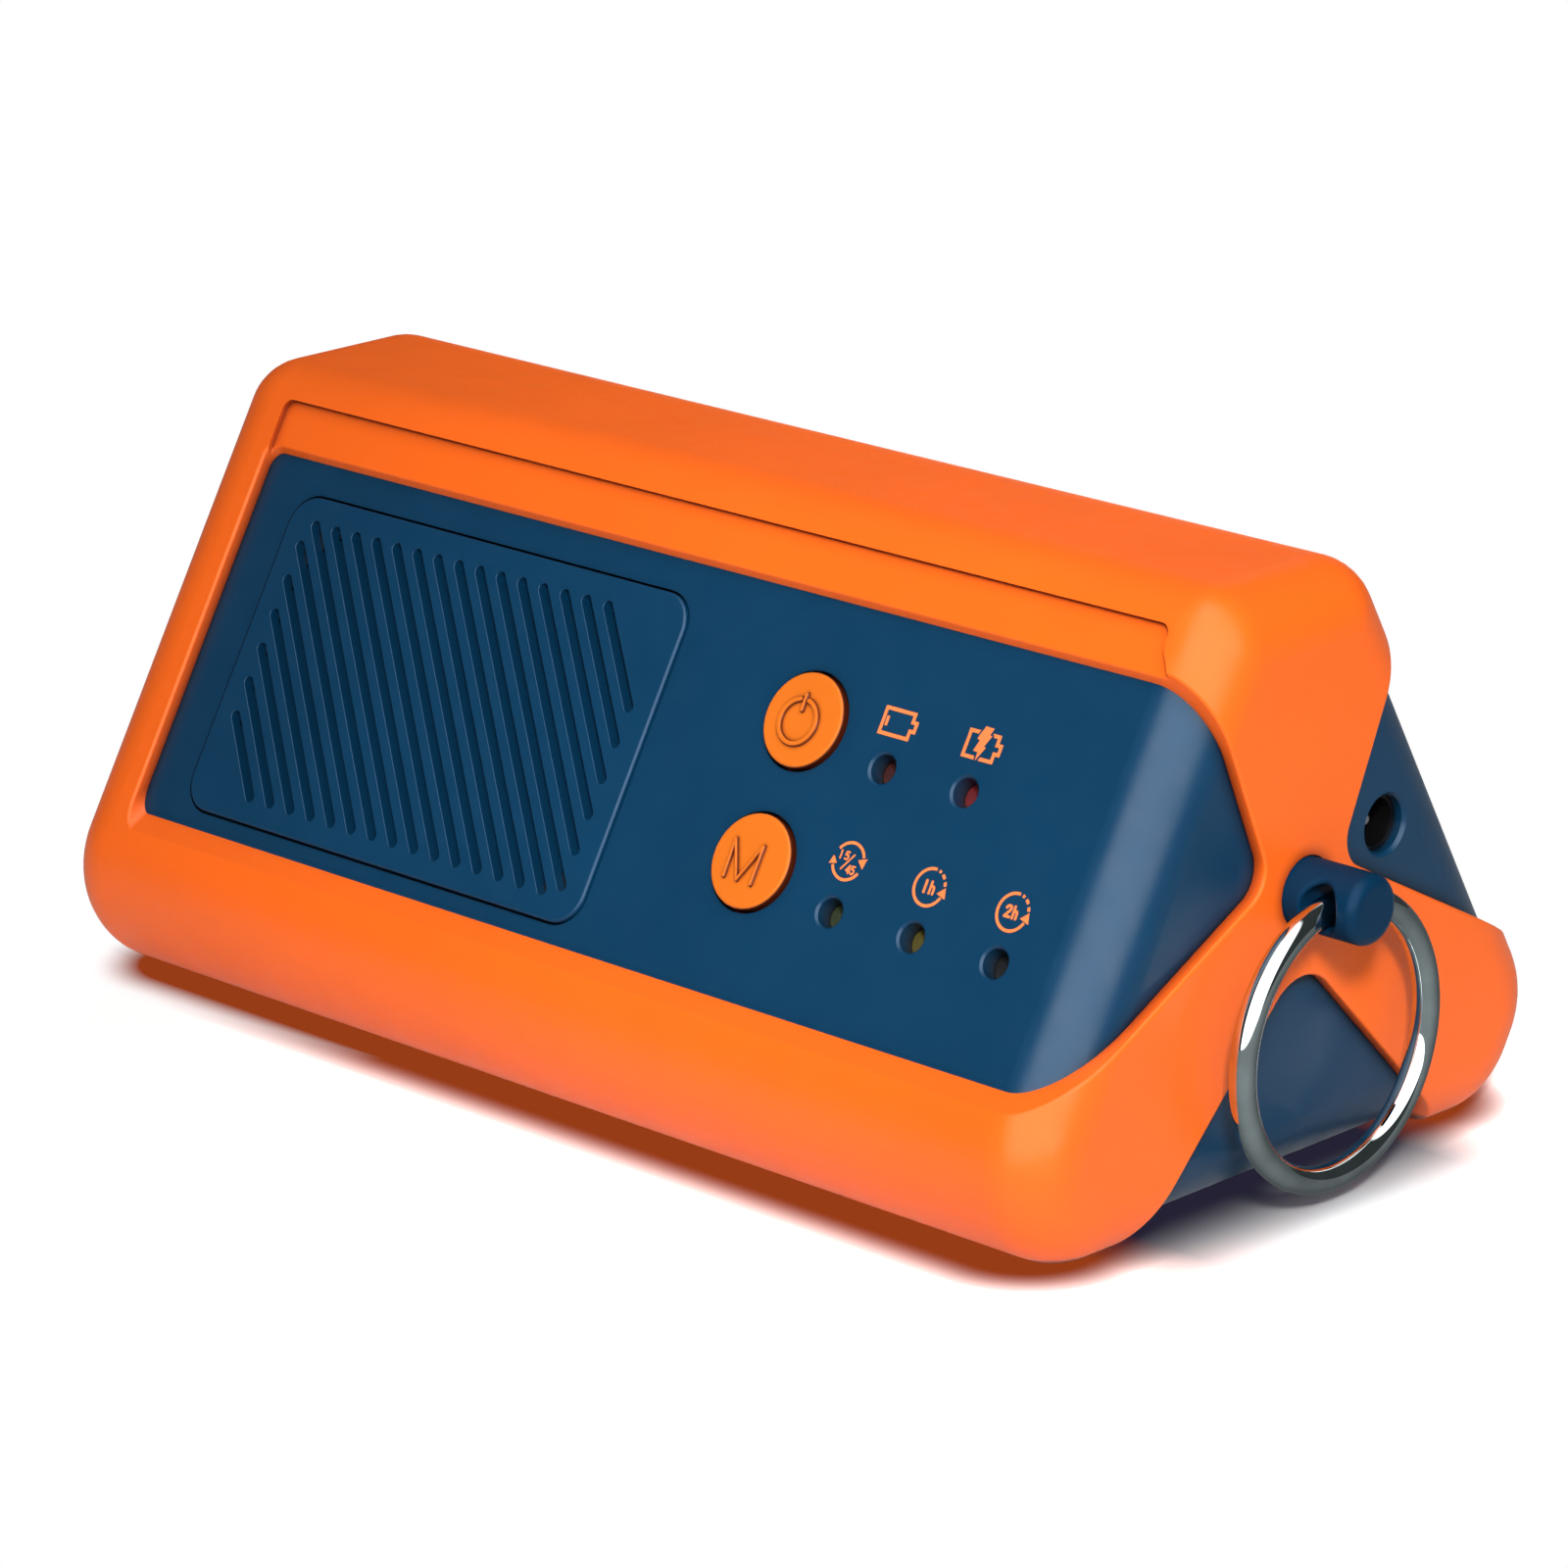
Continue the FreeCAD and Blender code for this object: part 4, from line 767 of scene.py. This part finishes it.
def mode_mark():
    """The letter M for mode, in strokes with round ends."""
    return strokes([(-3.16, -2.4), (-3.27, 2.6), (-0.9, -2.4), (1.58, 2.6), (1.56, -2.5)], 0.62)


def battery_outline(gap=None):
    """A battery seen from the side, its tip to the right; gap is a mark that cuts through the line."""
    line = [(-2.45, 1.65), (2.3, 1.65), (2.3, 0.58), (3.0, 0.58), (3.0, -0.58)]
    line += [(2.3, -0.58), (2.3, -1.65), (-2.45, -1.65), (-2.45, 1.65)]
    outline = square_line(line, 0.5)
    if gap:
        outline = without(outline, gap, 0.3)
    return outline


def low_battery_mark():
    """A battery with a single low bar of charge."""
    return union([battery_outline(), bar(-2.02, -0.65, -1.58, 0.65)])


def bolt_mark():
    """A lightning bolt with two steps."""
    right = [(-0.35, 2.5), (1.05, 2.5), (0.7, 1.55), (1.1, 1.5), (0.4, 0.0), (0.75, -0.1)]
    left = [(-0.2, -2.0), (-0.3, -0.9), (-1.05, -0.85), (-0.55, 0.6), (-1.05, 0.75)]
    return polygon(right + left)


def charging_mark():
    """A battery broken by a lightning bolt."""
    return union([moved(battery_outline(moved(bolt_mark(), -0.03, 0)), 0.03, -0.03), bolt_mark()])


def arrow_head(angle, radius, length, width, turn):
    """A solid arrow head on a circle, turned so that its point follows the circle."""
    head = polygon([(0, -width / 2), (0, width / 2), (length, 0)])
    spot = math.radians(angle)
    return moved(head, radius * math.cos(spot), radius * math.sin(spot), turn)


def digit_one(height):
    """The figure 1, a plain bar."""
    return [(0, 0.5 * height), (0, -0.5 * height)]


def digit_two(height):
    """The figure 2."""
    bowl = [(-0.25, 0.26), (-0.14, 0.43), (0.02, 0.47), (0.17, 0.42), (0.23, 0.26), (0.16, 0.06)]
    return [(u * height, v * height) for u, v in bowl + [(-0.26, -0.46), (0.26, -0.46)]]


def digit_four(height):
    """The figure 4."""
    return [(u * height, v * height) for u, v in [(0.14, -0.5), (0.14, 0.5), (-0.3, -0.2), (0.32, -0.2)]]


def digit_five(height):
    """The figure 5."""
    top = [(0.26, 0.5), (-0.18, 0.5), (-0.22, 0.08), (0.02, 0.14)]
    bowl = [(0.2, 0.06), (0.27, -0.16), (0.18, -0.4), (0.0, -0.5), (-0.24, -0.42)]
    return [(u * height, v * height) for u, v in top + bowl]


def letter_h(height):
    """A small h for hours, the height of the figures beside it."""
    points = [(-0.19, 0.5), (-0.19, -0.5), (-0.19, 0.0), (-0.06, 0.14), (0.1, 0.13), (0.19, 0.0)]
    return [(u * height, v * height) for u, v in points + [(0.19, -0.5)]]


def cycle_mark():
    """Two arrows chasing round the figures 15/45, for minutes on and off."""
    parts = [arc(2.42, 22, 148, 0.4), arc(2.42, 202, 332, 0.4)]
    parts.append(arrow_head(18, 2.26, 1.28, 1.45, -73))
    parts.append(arrow_head(198, 2.44, 1.1, 1.32, 102))
    parts.append(stroke((0.67, 0.97), (-0.79, -1.16), 0.24))
    tall = 1.0
    thick = 0.25
    for figure, u, v in ((digit_one, -1.5, 0.63), (digit_five, -0.5, 0.63)):
        parts.append(moved(strokes(figure(tall), thick), u, v))
    for figure, u, v in ((digit_four, 0.4, -0.98), (digit_five, 1.15, -0.98)):
        parts.append(moved(strokes(figure(tall), thick), u, v))
    return union(parts)


def hours_mark(figure, du):
    """An open ring with dashes and an arrow, round a number of hours."""
    parts = []
    for start, end in ((84.0, 338.0), (64.5, 74.0), (38.5, 54.7), (14.6, 28.3)):
        parts.append(arc(2.4, start, end, 0.42))
    parts.append(arrow_head(341, 2.3, 1.27, 1.6, 73.5))
    tall = 1.5
    parts.append(moved(strokes(figure(tall), 0.38), du, 0.0))
    parts.append(moved(strokes(letter_h(tall), 0.36), du + 1.15, 0.0))
    return union(parts)


def button_markings(finishes):
    """The two symbols moulded proud of the button caps."""
    finish = finishes["button_orange"]
    for name, mark in (("power_button", power_mark()), ("mode_button", mode_mark())):
        place = panel_matrix(centre_of(name), outer_level(name))
        shape = (mark, BUTTON_REACH, place, BUTTON_RELIEF, BUTTON_ROUNDING)
        marking(name + "_symbol", *shape, finish, name, "button_orange")


def printed_markings(finishes):
    """The five printed icons, each above its lamp."""
    icons = {
        "low_battery_lamp": (low_battery_mark(), -0.16, 6.15),
        "charging_lamp": (charging_mark(), 0.05, 6.25),
        "cycle_lamp": (cycle_mark(), 0.09, 6.95),
        "one_hour_lamp": (hours_mark(digit_one, -0.66), 0.04, 6.75),
        "two_hour_lamp": (hours_mark(digit_two, -0.7), -0.03, 6.75),
    }
    for lamp, (mark, du, dv) in icons.items():
        point = centre_of(lamp) + ACROSS * du * MM + UPHILL * dv * MM
        place = panel_matrix(point, COVER_LEVEL)
        name = lamp.replace("lamp", "icon")
        shape = (mark, ICON_REACH, place, INK_HEIGHT, 0)
        marking(name, *shape, finishes["printed_ink"], "radio_body", "bumper_orange")


# ---------------------------------------------------------------- stage, light and camera

FLOOR_REACH = 6.0


def pale_floor():
    """A wide white floor."""
    bm = bmesh.new()
    corners = [(-1, -1), (1, -1), (1, 1), (-1, 1)]
    made = [bm.verts.new((x * FLOOR_REACH, y * FLOOR_REACH, 0)) for x, y in corners]
    bm.faces.new(made)
    mesh = bpy.data.meshes.new("floor")
    bm.to_mesh(mesh)
    bm.free()
    floor = bpy.data.objects.new("floor", mesh)
    bpy.context.scene.collection.objects.link(floor)
    mesh.materials.append(floor_finish().material)


# The floor's painted shadow bands follow the radio's footprint, a rectangle with round corners. Each pair
# says how far outside its edge, in millimetres, a band starts to fade and where it has gone.
FOOT_HALF = {"X": 90.0, "Y": 50.0}
FOOT_CORNER = 14.0
SLEEVE_SHADOW_BAND = (-5, 2)
BASE_SHADOW_BAND = (-8, 10)
SHADOW_ZONE = (5, 30)
FEET_INNER_Y = (24.0, 34.0)
LIT_SIDE_X = (-80.0, -30.0)
# Painted shadow colours: brown under the sleeve, as if tinted by its orange, and dark under the base.
SHADOW_BAND_BROWN = linear(150, 60, 22)
SHADOW_BAND_DARK = linear(36, 34, 52)
FLOOR_TONES = ((0.84, 0.84, 0.84, 1), (0.88, 0.88, 0.88, 1))
FLOOR_SEEN = (1.35, 1.35, 1.35, 1)
FLOOR_PAINTED_IN_RING = (0.88, 0.97, 1.0, 1)


def outside_footprint(finish, position):
    """How far a point of the floor is outside the radio's footprint, in metres."""
    past = []
    for axis, half in FOOT_HALF.items():
        far = finish.math("ABSOLUTE", position.outputs[axis])
        past.append(finish.math("SUBTRACT", far, (half - FOOT_CORNER) * MM))
    squares = []
    for reach in past:
        beyond = finish.math("MAXIMUM", reach, 0.0)
        squares.append(finish.math("MULTIPLY", beyond, beyond))
    corner = finish.math("SQRT", finish.math("ADD", *squares))
    within = finish.math("MINIMUM", finish.math("MAXIMUM", *past), 0.0)
    return finish.math("SUBTRACT", finish.math("ADD", corner, within), FOOT_CORNER * MM)


def fading(finish, value, limits):
    """1 below the first limit in millimetres and 0 above the second."""
    return finish.ramp(value, limits[0] * MM, limits[1] * MM, 1.0, 0.0)


def seen_by_camera(finish, share):
    """The share for what the camera sees, and 0 for every other ray."""
    path = finish.nodes.new("ShaderNodeLightPath")
    return finish.math("MULTIPLY", share, path.outputs["Is Camera Ray"])


def floor_finish():
    """White, with a painted brown shadow under the sleeve, a painted dark shadow under the base, and a
    painted grey reflection in the ring.

    The camera sees lit cloth near the radio, for its soft shadow, and pure white farther off.
    """
    finish = Finish("floor")
    path = finish.nodes.new("ShaderNodeLightPath")
    place = finish.nodes.new("ShaderNodeNewGeometry")
    position = finish.nodes.new("ShaderNodeSeparateXYZ")
    finish.links.new(place.outputs["Position"], position.inputs[0])
    gap = outside_footprint(finish, position)

    between_feet = fading(finish, finish.math("ABSOLUTE", position.outputs["Y"]), FEET_INNER_Y)
    sleeve_shadow = fading(finish, gap, SLEEVE_SHADOW_BAND)
    base_shadow = fading(finish, gap, BASE_SHADOW_BAND)
    shade = finish.ramp(between_feet, 0.0, 1.0, sleeve_shadow, base_shadow)
    shadow_tint = finish.mix(between_feet, SHADOW_BAND_BROWN, SHADOW_BAND_DARK)

    plain = finish.muted(finish.mix(finish.noise(300.0, 2.0), *FLOOR_TONES), 0.4)
    seen = finish.mix(shade, FLOOR_SEEN, shadow_tint)
    cloth = finish.nodes.new("ShaderNodeBsdfDiffuse")
    finish.put(cloth.inputs["Color"], finish.mix(path.outputs["Is Camera Ray"], plain, seen))
    # Painted shadow: inside the bands the camera sees this emission in place of the lit cloth.
    band = finish.nodes.new("ShaderNodeEmission")
    finish.put(band.inputs["Color"], shadow_tint)
    covered = finish.choose(seen_by_camera(finish, shade), cloth.outputs[0], band.outputs[0])

    lit_side = finish.math("SUBTRACT", 1.0, fading(finish, position.outputs["X"], LIT_SIDE_X))
    shadowed = finish.math("MULTIPLY", fading(finish, gap, SHADOW_ZONE), lit_side)
    bare = finish.math("SUBTRACT", 1.0, finish.math("MAXIMUM", shadowed, shade))
    white = finish.nodes.new("ShaderNodeEmission")
    covered = finish.choose(seen_by_camera(finish, bare), covered, white.outputs[0])

    # Painted reflection: the ring's mirror sees the floor as a dim grey-blue glow, brighter towards one
    # side.
    room = finish.nodes.new("ShaderNodeEmission")
    towards = finish.nodes.new("ShaderNodeSeparateXYZ")
    finish.links.new(place.outputs["Incoming"], towards.inputs[0])
    sideways = finish.math("SUBTRACT", towards.outputs["Y"], towards.outputs["X"])
    finish.put(room.inputs["Color"], FLOOR_PAINTED_IN_RING)
    finish.put(room.inputs["Strength"], finish.ramp(sideways, -0.6, 1.2, 0.12, 0.34))
    mirrored = finish.choose(path.outputs["Is Singular Ray"], covered, room.outputs[0])
    output = next(node for node in finish.nodes if node.type == "OUTPUT_MATERIAL")
    finish.put(output.inputs[0], mirrored)
    return finish


WHITE = (1, 1, 1, 1)
KEY_RADIANCE = 0.74
KEY_MIRRORED = 4.2
FILL_RADIANCE = 0.18
FILL_TINT = (0.97, 0.98, 1.0, 1)
SKY_RADIANCE = 0.3
ROOM_RADIANCE = 0.05
ROOM_TINT = (0.85, 0.97, 1.0, 1)


def studio_world():
    """White to the camera; to the rest, a broad white light at the front right of a dim room.

    The broad light is brighter in glossy reflections than as lighting, and the room is dimmer.
    """
    world = bpy.data.worlds.new("studio")
    bpy.context.scene.world = world
    world.use_nodes = True
    nodes = world.node_tree.nodes
    links = world.node_tree.links
    nodes.clear()
    path = nodes.new("ShaderNodeLightPath")
    direction = nodes.new("ShaderNodeTexCoord").outputs["Generated"]

    def side_of(normal, low, high):
        """0 on one side of a plane through the radio and 1 on the other, blended in between."""
        dot = nodes.new("ShaderNodeVectorMath")
        dot.operation = "DOT_PRODUCT"
        links.new(direction, dot.inputs[0])
        dot.inputs[1].default_value = normal
        blend = nodes.new("ShaderNodeMapRange")
        blend.interpolation_type = "SMOOTHSTEP"
        blend.inputs["From Min"].default_value = low
        blend.inputs["From Max"].default_value = high
        links.new(dot.outputs["Value"], blend.inputs["Value"])
        return blend.outputs[0]

    def times(first, second):
        """The product of two node outputs."""
        node = nodes.new("ShaderNodeMath")
        node.operation = "MULTIPLY"
        links.new(first, node.inputs[0])
        links.new(second, node.inputs[1])
        return node.outputs[0]

    def glow(colour, strength):
        """Light of one colour and strength."""
        node = nodes.new("ShaderNodeBackground")
        node.inputs["Color"].default_value = colour
        node.inputs["Strength"].default_value = strength
        return node.outputs[0]

    def choose(share, otherwise, then):
        """A mix of two lights."""
        node = nodes.new("ShaderNodeMixShader")
        links.new(share, node.inputs[0])
        links.new(otherwise, node.inputs[1])
        links.new(then, node.inputs[2])
        return node.outputs[0]

    left_edge = side_of((1.0, 0.0, 0.29), -0.06, 0.1)
    right_edge = side_of((0.0, -1.0, 0.1), -0.06, 0.08)
    horizon = side_of((0.0, 0.0, 1.0), -0.01, 0.03)
    key = times(times(left_edge, right_edge), horizon)
    overhead = side_of((0.0, 0.0, 1.0), 0.4, 0.7)
    rim_light = times(side_of((-0.32, 0.557, 0.766), 0.93, 0.97), path.outputs["Is Singular Ray"])

    fill = choose(overhead, glow(FILL_TINT, FILL_RADIANCE), glow(WHITE, SKY_RADIANCE))
    room = glow(ROOM_TINT, ROOM_RADIANCE)
    around = choose(path.outputs["Is Glossy Ray"], fill, room)
    around = choose(rim_light, around, glow(WHITE, 1.0))
    lighting = glow(WHITE, KEY_RADIANCE)
    light = choose(path.outputs["Is Glossy Ray"], lighting, glow(WHITE, KEY_MIRRORED))
    around = choose(key, around, light)
    around = choose(path.outputs["Is Camera Ray"], around, glow(WHITE, 1.0))
    output = nodes.new("ShaderNodeOutputWorld")
    links.new(around, output.inputs[0])


SPOT_DISTANCE = 1.2
SPOTS = {
    "key_spot": {
        "direction": (0.58, -0.58, 0.57),
        "target": (0.04, -0.015, 0.04),
        "power": 112.0,
        "cone": 11.2,
        "blend": 0.63,
        "size": 0.12,
    },
    "back_spot": {
        "direction": (-0.5, 0.83, 0.17),
        "target": (0.0, 0.0, 0.04),
        "power": 60.0,
        "cone": 40.0,
        "blend": 0.5,
        "size": 0.3,
    },
}


def studio_spots():
    """Soft spots, unseen in reflections: at the front right, with an edge over the left end, and behind."""
    for name, plan in SPOTS.items():
        towards = Vector(plan["direction"]).normalized()
        light = bpy.data.lights.new(name, "SPOT")
        light.energy = plan["power"]
        light.shadow_soft_size = plan["size"]
        light.spot_size = math.radians(plan["cone"])
        light.spot_blend = plan["blend"]
        spot = bpy.data.objects.new(name, light)
        bpy.context.scene.collection.objects.link(spot)
        spot.location = Vector(plan["target"]) + towards * SPOT_DISTANCE
        spot.rotation_mode = "QUATERNION"
        spot.rotation_quaternion = (-towards).to_track_quat("-Z", "Y")
        spot.visible_glossy = False


CAMERA_AZIMUTH = math.radians(43.61)
CAMERA_ELEVATION = math.radians(17.68)
CAMERA_ROLL = math.radians(0.127)
CAMERA_DISTANCE = 0.8745
CAMERA_TARGET = Vector((0.00204, -0.00158, 0.0355))
CAMERA_LENS = 151.2
CAMERA_SENSOR = 36
CAMERA_CLIP = (0.05, 50)


def studio_camera():
    """The camera, a long lens looking at the front and the ring's end from a little above."""
    sine = math.sin(CAMERA_AZIMUTH)
    cosine = math.cos(CAMERA_AZIMUTH)
    flat = math.cos(CAMERA_ELEVATION)
    back = Vector((sine * flat, -cosine * flat, math.sin(CAMERA_ELEVATION)))
    level = Vector((cosine, sine, 0))
    upright = back.cross(level)
    right = level * math.cos(CAMERA_ROLL) + upright * math.sin(CAMERA_ROLL)
    up = back.cross(right)
    data = bpy.data.cameras.new("camera")
    data.sensor_width = CAMERA_SENSOR
    data.lens = CAMERA_LENS
    data.clip_start, data.clip_end = CAMERA_CLIP
    camera = bpy.data.objects.new("camera", data)
    bpy.context.scene.collection.objects.link(camera)
    matrix = Matrix((right, up, back)).transposed().to_4x4()
    matrix.translation = CAMERA_TARGET + back * CAMERA_DISTANCE
    camera.matrix_world = matrix
    bpy.context.scene.camera = camera


finishes = make_finishes()
dress_cad_nodes(finishes)
carry_ring_piece(finishes)
button_markings(finishes)
printed_markings(finishes)
pale_floor()
studio_world()
studio_spots()
studio_camera()
bpy.context.scene.view_settings.view_transform = "Standard"
